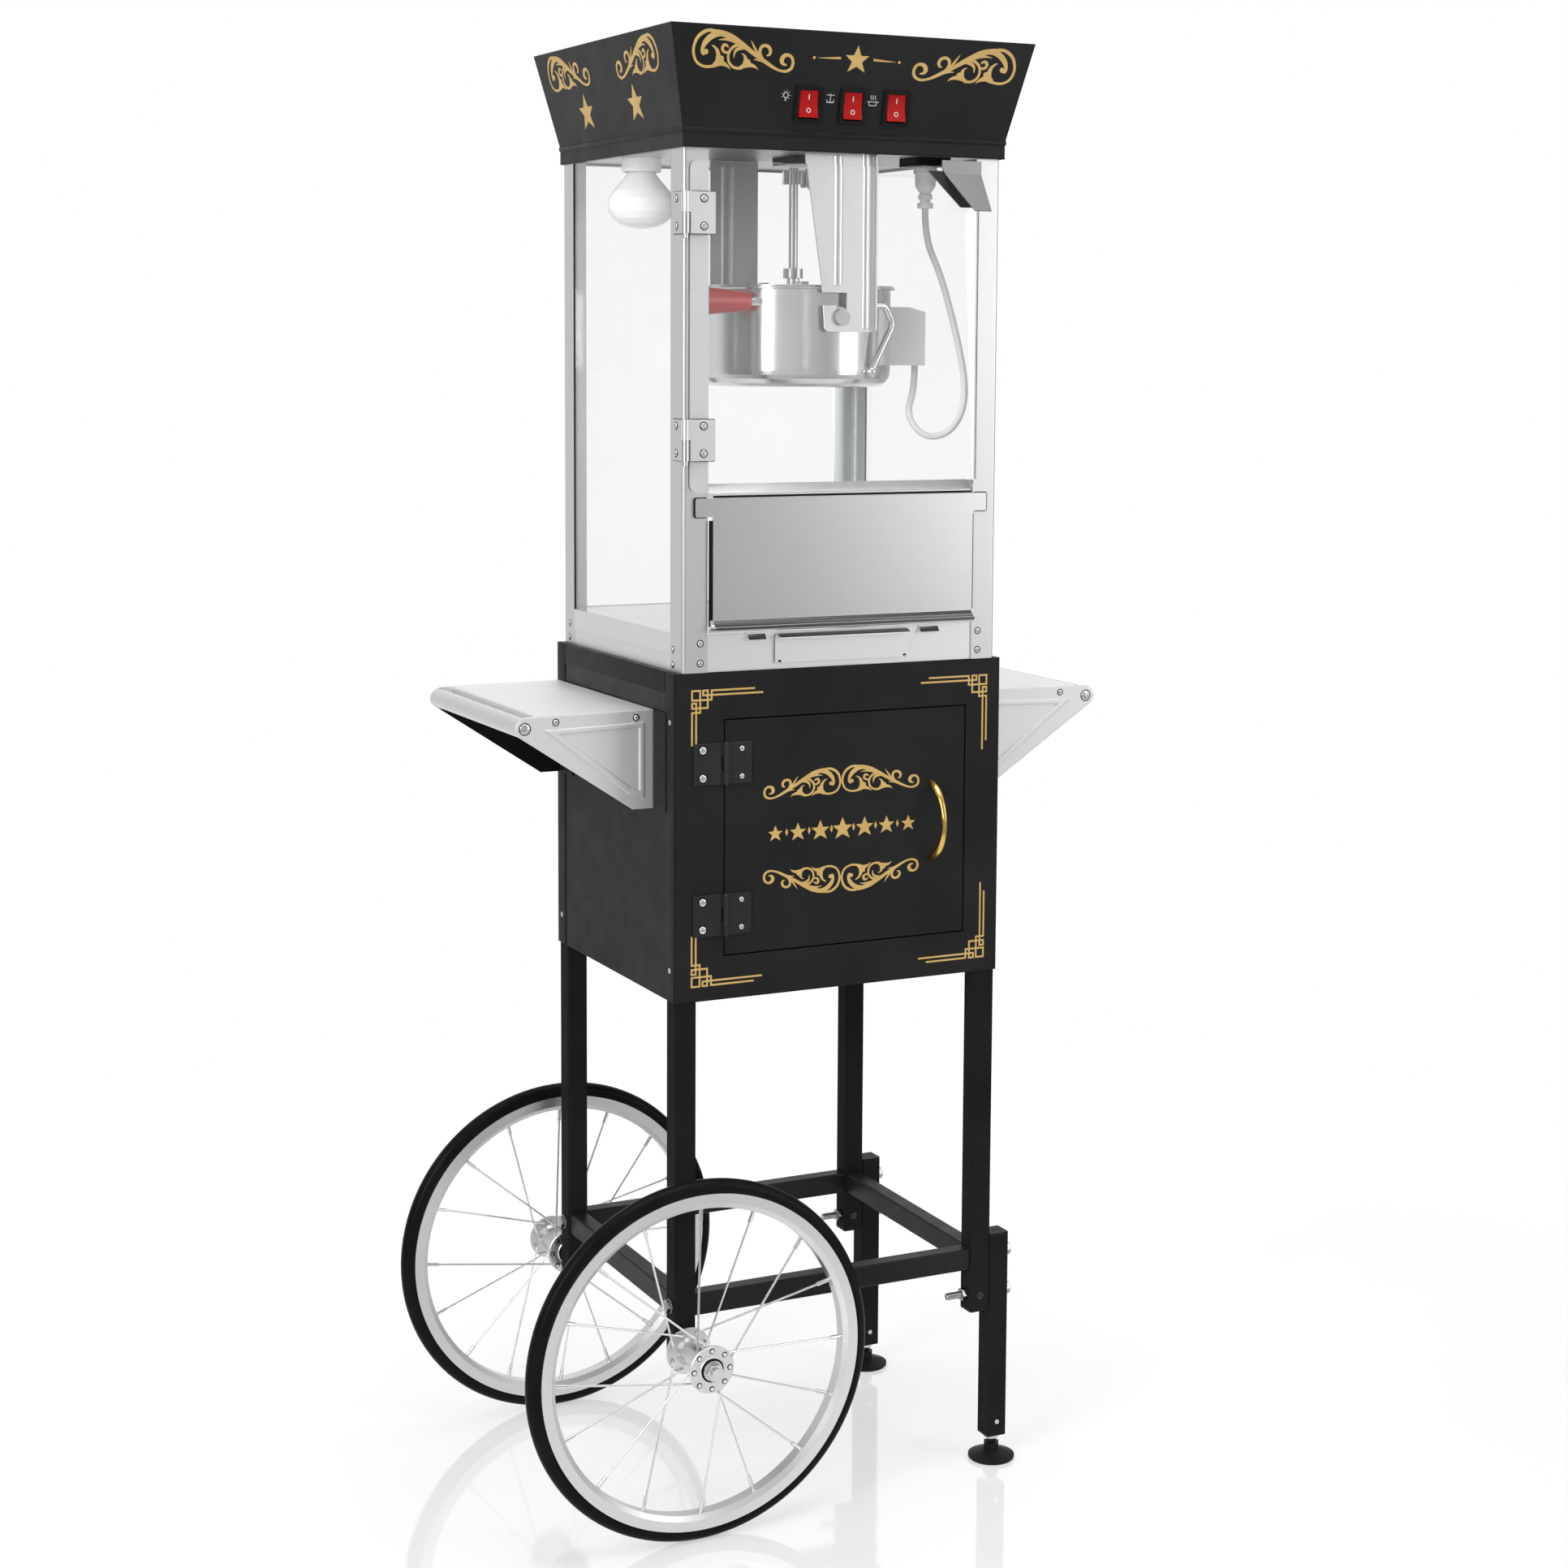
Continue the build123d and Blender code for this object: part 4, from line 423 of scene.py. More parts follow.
looks = {
    "leg_coat": "cart_legs extension_legs",
    "rail_coat": "lower_rails",
    "black_coat": "cabinet_front cabinet_panels shelf_mounts cabinet_door",
    "canopy_coat": "canopy cabinet_top_tray",
    "black_gloss": "cabinet_hinge_leaves cabinet_door_leaves",
    "steel_h": "front_flap",
    "panel": "base_panels crumb_drawer",
    "plate": "shelf_brackets",
    "steel_v": "corner_posts",
    "hanger": "kettle_hangers",
    "shelf": "shelf_plates",
    "steel_y": "popcorn_deck shelf_bars",
    "heater": "heater_box",
    "satin": "door_hinge_leaves",
    "hinge": "door_hinge_posts",
    "ceiling": "ceiling_plate",
    "handle": "door_handle",
    "pot": "kettle_pot kettle_lid kettle_lid_flap kettle_trunnions",
    "bolt": "frame_bolts",
    "zinc": "panel_screws cabinet_door_screws wheel_axles",
    "alu": "front_rim rear_rim front_hub rear_hub",
    "spoke": "front_spokes rear_spokes",
    "gear": "stirrer_shaft drive_gear",
    "motor": "stirrer_motor",
    "gold_metal": "cabinet_handle",
    "black_plastic": "leg_caps front_foot rear_foot switch_bezels ceiling_sockets door_backing",
    "tyre": "front_tyre rear_tyre",
    "red_rocker": "lamp_rocker stirrer_rocker kettle_rocker",
    "red_grip": "kettle_grip",
    "plug": "kettle_plug",
    "cord": "kettle_cord",
    "opal": "lamp_bulb",
    "glass": "fixed_windows",
    "door_glass": "door_window",
}
for key, names in looks.items():
    for n in names.split():
        mesh = nodes[n].data
        mesh.materials.clear()
        mesh.materials.append(M[key])

# ---- the kettle's cord --------------------------------------------------------------------------
cord_route = [
    (125.0, 71.7, 1274.7), (125.0, 71.7, 1248.0), (112.0, 67.0, 1220.0), (128.0, 56.0, 1194.0), (154.0, 46.0, 1197.0), (171.0, 40.5, 1222.0),
    (173.5, 40.5, 1258.0), (165.0, 49.0, 1313.0), (152.0, 61.0, 1376.0), (135.5, 70.0, 1417.0), (135.5, 70.0, 1450.6),
]


def cord_mesh(depth):
    cu = bpy.data.curves.new("cord_line", "CURVE")
    cu.dimensions = "3D"
    cu.resolution_u = 12
    s = cu.splines.new("NURBS")
    s.points.add(len(cord_route) - 1)
    for p, c in zip(s.points, cord_route):
        p.co = (*P(*c), 1)
    s.order_u = 3
    s.use_endpoint_u = True
    cu.bevel_depth = depth
    cu.bevel_resolution = 5
    cu.use_fill_caps = True
    o = bpy.data.objects.new("cord_line", cu)
    scene.collection.objects.link(o)
    bpy.context.view_layer.update()
    me = bpy.data.meshes.new_from_object(o.evaluated_get(bpy.context.evaluated_depsgraph_get()))
    bpy.data.objects.remove(o)
    return me


line = cord_mesh(0.0)
cord_path = [v.co.copy() for v in line.vertices]
cord_length = sum((b - a).length for a, b in zip(cord_path, cord_path[1:]))
tube = cord_mesh(0.00375)
tube.name = "kettle_lead"
tube.materials.clear()
cord = link("kettle_lead", tube, None, M["cord"], smooth=True)
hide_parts("kettle_cord")
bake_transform(cord)
P(*cord_route[0])


# ---- printed ornament ---------------------------------------------------------------------------
def front_face(u, v, h):
    return P(u, -h, v)


CAN_Z0, CAN_Z1, FLARE = 1521.0, 1627.7, 23.6
k_slope = FLARE / (CAN_Z1 - CAN_Z0)
n_len = sqrt(1 + k_slope * k_slope)


def canopy_front(u, v, h):
    y = -5.9 - k_slope * (v - CAN_Z0)
    return P(u, y - h / n_len, v - h * k_slope / n_len)


def canopy_left(u, v, h):
    x = -194.5 - k_slope * (v - CAN_Z0)
    return P(x - h / n_len, u, v - h * k_slope / n_len)


def canopy_right(u, v, h):
    x = 194.5 + k_slope * (v - CAN_Z0)
    return P(x + h / n_len, u, v - h * k_slope / n_len)


# one leafy scroll, about 117 wide and 39 tall, its large loop at the left
scroll_strokes = [
    [(25, 37.8, 1.0), (18, 38.2, 1.6), (11, 36, 1.9), (4.5, 30.5, 1.8), (1.2, 22, 1.6), (1.4, 14, 1.5), (5, 6.5, 1.4), (11, 2.6, 1.4), (18, 1.5, 1.5), (25, 2.6, 1.6), (30, 4.5, 2.2)],
    [(13, 37.2, 0.6), (20, 37.6, 1.6), (31, 35.8, 2.9), (42, 32.6, 3.2), (51, 28, 3.0), (60, 23, 2.6), (69, 17.5, 2.2), (78, 12.5, 2.2), (87, 7.6, 1.9), (95, 3.6, 1.5), (102, 1.4, 1.3), (108, 1.2, 1.5), (113.5, 4, 1.7), (115.4, 9.5, 1.7), (113.8, 15, 1.6), (109, 17.8, 1.7), (104, 16.2, 2.3), (102.2, 12, 2.5), (104, 8.6, 1.7), (108.6, 7.3, 0.7)],
    [(34, 35, 2.2), (26, 34.6, 2.8), (19, 31.6, 3.2), (13.6, 26, 2.9), (11, 20, 2.0), (11.2, 15.4, 1.6), (13.6, 13.6, 1.4)],
    [(28, 28.9, 0.3), (35, 29.8, 1.1), (43, 29.2, 1.7), (51, 27, 2.0)],
    [(52, 25.4, 1.6), (46.5, 23.4, 1.6), (42, 19, 1.5), (40.6, 13, 1.4), (42.3, 7, 1.4), (46.5, 3, 1.4), (52, 1.6, 1.5), (57.5, 2.6, 2.0)],
    [(42.4, 18.2, 1.0), (38.5, 16.8, 1.3), (34.9, 17.8, 1.5), (33.2, 21, 1.7), (35, 24.2, 1.7), (38.6, 23.6, 1.1), (40, 21.6, 0.5)],
    [(60, 22.6, 1.6), (54, 22, 1.9), (49.5, 20, 1.8), (47.4, 16.6, 1.2), (47.2, 11.6, 0.3)],
    [(65, 30.2, 0.3), (69.5, 23.5, 1.2), (74, 17.2, 1.2), (79, 12.6, 1.0)],
    [(80, 12, 1.6), (76.4, 17.6, 1.8), (76.8, 23.2, 1.8), (80.6, 26, 1.7), (85.6, 24.8, 1.8), (88.2, 20.8, 1.8), (87.2, 17, 1.4), (84, 15.8, 0.5)],
    [(70, 11.3, 0.4), (76, 10.9, 1.0), (83, 9, 1.2), (90, 6, 1.0)],
]
scroll_leaves = [
    [(23, 3.6), (26.6, 8.5), (27, 14), (25.4, 19.2), (20.2, 23.6), (24, 23.2), (28.6, 20), (31.2, 16), (32, 13.4), (35, 13), (36, 10.6), (35.8, 8.2), (39, 6.4), (42.6, 3), (44.6, -0.4), (42, 1.3), (38, 2.8), (33, 3.2), (28, 2.5), (23, 1.2)],
    [(54, 2.8), (58, 7), (58.6, 12), (57.6, 15), (54.6, 16.2), (57.6, 16.8), (61.4, 14.2), (62.6, 11.6), (65.6, 10.5), (66.8, 7.8), (71, 6.3), (74, 4.2), (76.5, 0.8), (73.4, 2.4), (69, 3.3), (64, 3), (59, 1.8), (54, 0.8)],
]
scroll = [q for s in scroll_strokes for q in ribbon(s)]
scroll += [[np.array(p, float) for p in leaf] for leaf in scroll_leaves]
scroll += [disc(14.9, 16.4, 2.9)]


def moved(shapes, u0, v0, su, sv):
    return [[np.array((u0 + su * p[0], v0 + sv * p[1])) for p in s] for s in shapes]


LIFT = 0.12
gold = M["gold_print"]


def printed(name, shapes, place, body, mat=gold):
    o = print_layer(name, shapes, place, LIFT, body, mat)
    return o


printed("canopy_scroll_front_left", moved(scroll, -191.5, 1583.2, 1.01, 1.0), canopy_front, "cart")
printed("canopy_scroll_front_right", moved(scroll, 196.0, 1582.2, -1.09, 0.97), canopy_front, "cart")
for side_name, place in (("left", canopy_left), ("right", canopy_right)):
    printed(f"canopy_scroll_{side_name}_rear", moved(scroll, 337.0, 1583.4, -1.035, 1.0), place, "cart")
    printed(f"canopy_scroll_{side_name}_front", moved(scroll, 20.0, 1582.6, 1.006, 1.0), place, "cart")
    star = [(0, 19.5), (-6.2, 5), (-19.8, 4.7), (-8.6, -4.3), (-14.5, -19), (0, -11), (14.5, -19), (8.6, -4.3), (19.8, 4.7), (6.2, 5)]
    for k, yc in enumerate((245.5, 103.5)):
        printed(f"canopy_star_{side_name}_{k + 1}", [[np.array((yc + u, 1556.5 + v)) for u, v in star]], place, "cart")

# plain star with two tapering lines, over the switches
mid_star = [[np.array((0.5 + 0.72 * u, 1601 + 0.72 * v)) for u, v in star]]
mid_lines = ribbon([(-46, 1600, 0.2), (-32, 1600.4, 0.9), (-19, 1601, 1.3)]) + ribbon([(47, 1600, 0.2), (33, 1600.4, 0.9), (20, 1601, 1.3)])
mid_lines += [disc(-50.5, 1600, 1.6), disc(51.5, 1600, 1.6)]
printed("canopy_star_front", mid_star + mid_lines, canopy_front, "cart")

# cabinet door: four half scrolls, and a band of stars and lozenges between them
for name, sx, z0, sz in (("top_right", 0.835, 805.2, 0.765), ("top_left", -0.81, 804.2, 0.765), ("low_right", 0.835, 724.6, -0.78), ("low_left", -0.81, 725.4, -0.78)):
    printed(f"door_scroll_{name}", moved(scroll, 0.6 if sx > 0 else -0.6, z0, sx, sz), front_face, "cabinet_door_body")
band = []
for k in range(-3, 4):
    s = 0.62 - 0.06 * abs(k)
    band.append([np.array((2 + 27.5 * k + s * u, 766 + s * v)) for u, v in star])
for k in range(-3, 3):
    u = 2 + 27.5 * (k + 0.5)
    band.append([np.array(p) for p in ((u - 1.8, 766), (u, 761.5), (u + 1.8, 766), (u, 770.5))])
printed("door_star_band", band, front_face, "cabinet_door_body")

# interlaced corner frets
fret_a = [(74, 0.6), (23.7, 0.6), (23.7, 10.6), (0.7, 10.6), (0.7, 0.4), (10.2, 0.4), (10.2, 24.1), (0.7, 24.1)]
fret_b = [(84, 5.5), (13.7, 5.5), (13.7, 0.4), (19.1, 0.4), (19.1, 19.3), (0.7, 19.3), (0.7, 13.9), (5.5, 13.9)]
for name, u0, su, v0, sv, long_a, long_b in (("top_left", -181, 1, 928, -1, 59, 59), ("top_right", 184, -1, 928, -1, 74, 84), ("low_right", 184, -1, 603.5, 1, 75.5, 85.5), ("low_left", -181, 1, 604, 1, 55, 55)):
    shapes = []
    for line_pts in (fret_a + [(0.7, long_a)], fret_b + [(5.5, long_b)]):
        for (a, b), (c, d) in zip(line_pts, line_pts[1:]):
            shapes.append(bar(u0 + su * a, v0 + sv * b, u0 + su * c, v0 + sv * d, 1.05))
    printed(f"fret_{name}", shapes, front_face, "cart")

# ---- switch marks -------------------------------------------------------------------------------
lamp_icon = ring(-79.5, 1560.2, 2.7, 0.4) + [bar(-80.4, 1556.2, -78.6, 1556.2, 0.35), bar(-80.2, 1555.0, -78.8, 1555.0, 0.35)]
for a in (0, 40, 80, 120, 160, 200, -40):
    lamp_icon.append(bar(-79.5 + 4.2 * cos(radians(a)), 1560.2 + 4.2 * sin(radians(a)), -79.5 + 5.3 * cos(radians(a)), 1560.2 + 5.3 * sin(radians(a)), 0.25))
stir_icon = [bar(-26.6, 1554.5, -26.6, 1563.5, 0.4), bar(-31, 1562.6, -22.2, 1562.6, 0.35), bar(-30.6, 1555, -22.6, 1555, 0.45), bar(-30.6, 1555, -30.6, 1557.6, 0.35), bar(-22.6, 1555, -22.6, 1557.6, 0.35)]
pot_icon = [bar(20.6, 1553.8, 28.6, 1553.8, 0.4), bar(20.6, 1553.8, 19.6, 1558, 0.4), bar(28.6, 1553.8, 29.6, 1558, 0.4), bar(17.6, 1557.6, 31.6, 1557.6, 0.35)]
for u in (22, 24.6, 27.2):
    pot_icon += ribbon([(u, 1559.6, 0.3), (u + 0.7, 1561.2, 0.35), (u - 0.5, 1562.8, 0.35), (u + 0.3, 1564.4, 0.3)], 4)
for name, icon in (("lamp", lamp_icon), ("stirrer", stir_icon), ("kettle", pot_icon)):
    printed(f"switch_sign_{name}", icon, canopy_front, "cart", M["white_print"])

slope_up = Vector((0, -k_slope, 1)) / n_len
slope_out = Vector((0, -1, -k_slope)) / n_len
tip = radians(-8.0)
face = [(-14.2, 5.0), (-7, 3.9), (0, 3.4), (7, 3.9), (14.2, 5.0)]


def rocker_place(x):
    base = P(x, -5.9 - k_slope * (1552.0 - CAN_Z0), 1552.0) - slope_out * 0.002

    def place(u, v, h):
        for (a, ha), (b, hb) in zip(face, face[1:]):
            if a <= v <= b:
                d = ha + (hb - ha) * (v - a) / (b - a) + h
        uu, vv = v * cos(tip) - d * sin(tip), v * sin(tip) + d * cos(tip)
        return base + Vector((u / 1000, 0, 0)) + slope_up * (uu / 1000) + slope_out * (vv / 1000)

    return place


for body, x in (("lamp_switch", -52.4), ("stirrer_switch", 0.4), ("kettle_switch", 53.2)):
    marks = [bar(0, 5.0, 0, 9.6, 0.6)] + ring(0, -6.6, 2.2, 0.5)
    print_layer(f"{body}_marks", marks, rocker_place(x), 0.1, body, M["white_print"])


# ---- screws with cross recesses -----------------------------------------------------------------
def islands(node):
    """The points of each head in a node of screw heads, one group per head."""
    me = nodes[node].data
    n = len(me.vertices)
    co = np.array([v.co for v in me.vertices])
    key = {}
    first = [key.setdefault(tuple(np.round(c, 6)), i) for i, c in enumerate(co)]
    lead = list(range(n))

    def find(i):
        while lead[i] != i:
            lead[i] = lead[lead[i]]
            i = lead[i]
        return i

    for i, f in enumerate(first):
        lead[find(i)] = find(f)
    for e in me.edges:
        lead[find(e.vertices[0])] = find(e.vertices[1])
    groups = {}
    for i in range(n):
        groups.setdefault(find(i), []).append(i)
    for g in groups.values():
        yield co[g]


screw_feet = {}


def screw_set(name, node, body):
    bm = bmesh.new()
    screw_feet[node] = []
    for pts in islands(node):
        lo, hi = pts.min(0), pts.max(0)
        size = hi - lo
        ax = int(np.argmin(size))
        mid = (lo + hi) / 2
        rad = max(size) / 2 * 1000
        tall = size[ax] * 1000
        # the wider end sits on the panel
        low_r = np.abs(np.delete(pts[np.abs(pts[:, ax] - lo[ax]) < 1e-6] - mid, ax, 1)).max()
        high_r = np.abs(np.delete(pts[np.abs(pts[:, ax] - hi[ax]) < 1e-6] - mid, ax, 1)).max()
        out = Vector((0, 0, 0))
        out[ax] = 1.0 if low_r > high_r else -1.0
        foot = Vector(mid)
        foot[ax] = lo[ax] if low_r > high_r else hi[ax]
        screw_head(bm, foot, out, rad, tall)
        screw_feet[node].append((foot, out, rad))
    o = from_bm(name, bm, body, M["zinc"], smooth=True)
    shade(o)
    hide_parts(node)
    return o


def screw_head(bm, foot, out, rad, tall):
    """A domed head with a cross recess cut as a real hollow."""
    out = Vector(out).normalized()
    e1 = out.orthogonal().normalized()
    e2 = out.cross(e1)
    arm, half, deep = rad * 0.62, rad * 0.13, tall * 0.55

    def at(x, y, h):
        return foot + (e1 * x + e2 * y + out * h) / 1000

    # outline of the cross, then rings out to the rim
    cross = []
    for q in range(4):
        c, s = cos(q * pi / 2), sin(q * pi / 2)
        for x, y in ((half, half * 1.0), (arm, half), (arm, -half), (half, -half)):
            cross.append((x * c - y * s, x * s + y * c))
    # order the corners by angle so that the outline runs once round
    order = []
    for q in range(4):
        c, s = cos(q * pi / 2), sin(q * pi / 2)
        for x, y in ((arm, -half), (arm, half), (half, half)):
            order.append((x * c - y * s, x * s + y * c))

    def dome(r):
        t = min(1.0, r / rad)
        return tall * (1 - 0.55 * t**2.4)

    n = len(order)
    top = [bm.verts.new(at(x, y, dome(sqrt(x * x + y * y)))) for x, y in order]
    low = [bm.verts.new(at(x * 0.8, y * 0.8, tall - deep)) for x, y in order]
    bm.faces.new([low[i] for i in range(n)])
    for i in range(n):
        j = (i + 1) % n
        bm.faces.new((top[i], top[j], low[j], low[i]))
    last = top
    for r, h in ((0.74, None), (0.88, None), (0.97, tall * 0.38), (1.0, tall * 0.2), (1.0, 0.0)):
        ring_v = []
        for x, y in order:
            a = atan2(y, x)
            ring_v.append(bm.verts.new(at(rad * r * cos(a), rad * r * sin(a), dome(rad * r) if h is None else h)))
        for i in range(n):
            j = (i + 1) % n
            bm.faces.new((last[i], last[j], ring_v[j], ring_v[i]))
        last = ring_v
    bm.faces.new(list(reversed(last)))


def shade(o, angle=35):
    for p in o.data.polygons:
        p.use_smooth = True
    bm = bmesh.new()
    bm.from_mesh(o.data)
    for e in bm.edges:
        if len(e.link_faces) == 2 and e.calc_face_angle(0) > radians(angle):
            e.smooth = False
    bm.to_mesh(o.data)
    bm.free()


screw_set("panel_screw_heads", "panel_screws", "cart")
screw_set("cabinet_door_screw_heads", "cabinet_door_screws", "cabinet_door_body")

# heads on the glass door's hinges
bm = bmesh.new()
for z0 in (1174.0, 1413.0):
    for dz in (8, 37):
        screw_head(bm, P(-193.6, 13.6, z0 + dz), (-1, 0, 0), 3.6, 2.0)
shade(from_bm("hinge_post_screws", bm, "cart", M["zinc"]))
bm = bmesh.new()
for z0 in (1174.0, 1413.0):
    for dz in (8, 37):
        screw_head(bm, P(-170.3, -6.8, z0 + dz), (0, -1, 0), 3.8, 2.0)
shade(from_bm("hinge_leaf_screws", bm, "glass_door", M["zinc"]))

# ---- dark strips along the flap's sides: painted shade in the gaps beside the posts ----------------
bm = bmesh.new()
edge_shape = [(-162.1, -2.6), (-161.8, -3.1), (-158.4, -3.1), (-157.7, -2.9), (-157.7, 1.0), (-158.3, 1.6), (-159.2, 1.0), (-159.2, -0.6), (-161.7, -1.5), (-162.1, -1.9)]
ends = []
for z, inset in ((996.5, 0.6), (997.1, 0.0), (1109.4, 0.0), (1110.0, 0.6)):
    mx, my = -159.6, -1.6
    ends.append([bm.verts.new(P(x + (mx - x) * inset * 0.2, y + (my - y) * inset * 0.2, z)) for x, y in edge_shape])
n_edge = len(edge_shape)
for lo, hi in zip(ends, ends[1:]):
    for k in range(n_edge):
        bm.faces.new((lo[k], lo[(k + 1) % n_edge], hi[(k + 1) % n_edge], hi[k]))
bm.faces.new(list(reversed(ends[0])))
bm.faces.new(ends[-1])
shade(from_bm("flap_left_edge_painted_shade", bm, "flap", M["tyre"]))
bm = bmesh.new()
edge_shape = [(160.7, -3.7), (160.85, -4.0), (161.6, -4.0), (161.85, -3.7), (161.85, -2.4), (161.6, -2.15), (160.7, -2.2)]
ends = []
for z, inset in ((1004.0, 0.6), (1004.6, 0.0), (1111.0, 0.0), (1111.6, 0.6)):
    mx, my = 161.3, -3.1
    ends.append([bm.verts.new(P(x + (mx - x) * inset * 0.2, y + (my - y) * inset * 0.2, z)) for x, y in edge_shape])
n_edge = len(edge_shape)
for lo, hi in zip(ends, ends[1:]):
    for k in range(n_edge):
        bm.faces.new((lo[k], lo[(k + 1) % n_edge], hi[(k + 1) % n_edge], hi[k]))
bm.faces.new(list(reversed(ends[0])))
bm.faces.new(ends[-1])
shade(from_bm("flap_right_edge_painted_shade", bm, "flap", M["dark_steel"]))



# ---- strips, gaskets and folds -------------------------------------------------------------------
def strip(bm, section, ends, place):
    """A closed strip: one section (rounded, in mm) drawn out between its ends, which close in a little."""
    cu = sum(u for u, v in section) / len(section)
    cv = sum(v for u, v in section) / len(section)
    (a, b), soft = ends, 0.6
    rows = []
    for s, k in ((a, 0.82), (a + soft, 1.0), (b - soft, 1.0), (b, 0.82)):
        rows.append([bm.verts.new(place(s, cu + (u - cu) * k, cv + (v - cv) * k)) for u, v in section])
    n = len(section)
    for lo, hi in zip(rows, rows[1:]):
        for k in range(n):
            bm.faces.new((lo[k], lo[(k + 1) % n], hi[(k + 1) % n], hi[k]))
    bm.faces.new(list(reversed(rows[0])))
    bm.faces.new(rows[-1])


def along_x(s, u, v):
    return P(s, u, v)


# dark steel along the curl of the flap's lower edge, its rolled tip left bright: painted shade and dark reflection
bm = bmesh.new()
strip(bm, [(-3.85, 1002.6), (-4.1, 1002.4), (-4.35, 1000.1), (-5.35, 998.25), (-7.3, 996.9), (-8.6, 996.7), (-8.6, 996.35), (-7.15, 996.55), (-5.1, 997.85), (-4.02, 999.95), (-3.8, 1002.3)], (-156.4, 160.4), along_x)
shade(from_bm("flap_curl_painted_shade", bm, "flap", M["dark_steel"]))

# gasket between the flap's upper edge and the sill, and the trim that covers the sill's slope
bm = bmesh.new()
strip(bm, [(1.75, 1134.2), (1.0, 1134.2), (0.45, 1134.6), (0.25, 1135.3), (0.5, 1136.0), (1.2, 1136.5), (1.95, 1136.5), (1.7, 1135.4)], (-155.0, 161.0), along_x)
shade(from_bm("sill_gasket", bm, "cart", M["rubber_line"]))
bm = bmesh.new()
strip(bm, [(3.1, 1138.25), (2.85, 1138.55), (11.15, 1148.3), (11.75, 1148.75), (12.3, 1148.4), (11.6, 1148.2)], (-160.0, 160.0), along_x)
shade(from_bm("sill_trim", bm, "cart", M["sill_trim"]))

# turned-down edge of the same curl, in dark steel: painted shade and dark reflection
bm = bmesh.new()
strip(bm, [(-10.5, 995.5), (-10.75, 995.9), (-11.05, 995.6), (-11.1, 994.0), (-11.0, 992.9), (-10.75, 992.6), (-10.5, 992.9), (-10.55, 994.2)], (-156.4, 160.4), along_x)
shade(from_bm("flap_curl_edge_painted_shade", bm, "flap", M["dark_steel"]))

# dark steel on the drawer's pull and on the curl of the two clips: painted shade and dark reflection
bm = bmesh.new()
strip(bm, [(-1.9, 985.05), (-1.9, 985.45), (-5.6, 983.95), (-9.0, 982.45), (-9.2, 982.0), (-5.6, 983.5)], (-79.6, 79.6), along_x)
shade(from_bm("drawer_pull_painted_shade", bm, "drawer", M["dark_steel"]))
bm = bmesh.new()
for x0, x1 in ((-115.2, -94.3), (95.9, 119.2)):
    strip(bm, [(-0.55, 986.4), (-0.8, 986.3), (-0.98, 985.1), (-2.25, 982.8), (-3.85, 981.4), (-4.35, 980.5), (-4.1, 980.4), (-3.55, 981.5), (-1.95, 982.95), (-0.65, 985.2)], (x0, x1), along_x)
shade(from_bm("clip_painted_shade", bm, "cart", M["dark_steel"]))

# black pads on the posts behind the flap's two ears, a dark outline round each ear: painted shade
bm = bmesh.new()
for x0, x1 in ((-178.9, -163.2), (163.4, 180.0)):
    rim = []
    for y, inset in ((0.15, 0.3), (-0.2, 0.0), (-1.7, 0.0), (-2.0, 0.3)):
        rim.append([bm.verts.new(P(x, y, z)) for x, z in ((x0 + 2 + inset, 1113.0 + inset), (x1 - 2 - inset, 1113.0 + inset), (x1 - inset, 1115.0 + inset), (x1 - inset, 1133.0 - inset), (x1 - 2 - inset, 1135.0 - inset), (x0 + 2 + inset, 1135.0 - inset), (x0 + inset, 1133.0 - inset), (x0 + inset, 1115.0 + inset))])
    for lo, hi in zip(rim, rim[1:]):
        for k in range(8):
            bm.faces.new((lo[k], lo[(k + 1) % 8], hi[(k + 1) % 8], hi[k]))
    bm.faces.new(list(reversed(rim[0])))
    bm.faces.new(rim[-1])
shade(from_bm("flap_ear_shade_pads", bm, "cart", M["rubber_line"]))


def along_z(s, u, v):
    return P(u, v, s)


# glazing strips where the posts' side flanges end on the side windows, and the door glass's ground edge
for side_name, s in (("left", -1), ("right", 1)):
    bm = bmesh.new()
    for y0, y1 in ((31.0, 32.3), (311.4, 314.0)):
        sec = [(190.6, y0), (191.5, y0), (191.75, y0 + 0.3), (191.75, y1 - 0.3), (191.5, y1), (190.6, y1)]
        strip(bm, [(s * u, v) for u, v in sec], (978.5, 1502.5), along_z)
    shade(from_bm(f"glazing_strips_{side_name}", bm, "cart", M["rubber_line"]))
bm = bmesh.new()
strip(bm, [(162.5, -5.25), (163.05, -5.25), (163.3, -4.8), (163.3, -1.6), (163.05, -1.15), (162.5, -1.15)], (1149.5, 1481.0), along_z)
shade(from_bm("door_glass_edge", bm, "glass_door", M["glass_edge"]))


# black pads under the glass door's hinge leaves, a dark rim round each leaf: painted shade
def pad(bm, corners_of, depths):
    rim = []
    for d, inset in ((depths[0], 0.0), (depths[1], 0.0), (depths[2], 0.2)):
        rim.append([bm.verts.new(v) for v in corners_of(d, inset)])
    for lo, hi in zip(rim, rim[1:]):
        for k in range(len(lo)):
            j = (k + 1) % len(lo)
            bm.faces.new((lo[k], lo[j], hi[j], hi[k]))
    bm.faces.new(list(reversed(rim[0])))
    bm.faces.new(rim[-1])


def cut_corners(a0, a1, b0, b1, c):
    return [(a0 + c, b0), (a1 - c, b0), (a1, b0 + c), (a1, b1 - c), (a1 - c, b1), (a0 + c, b1), (a0, b1 - c), (a0, b0 + c)]


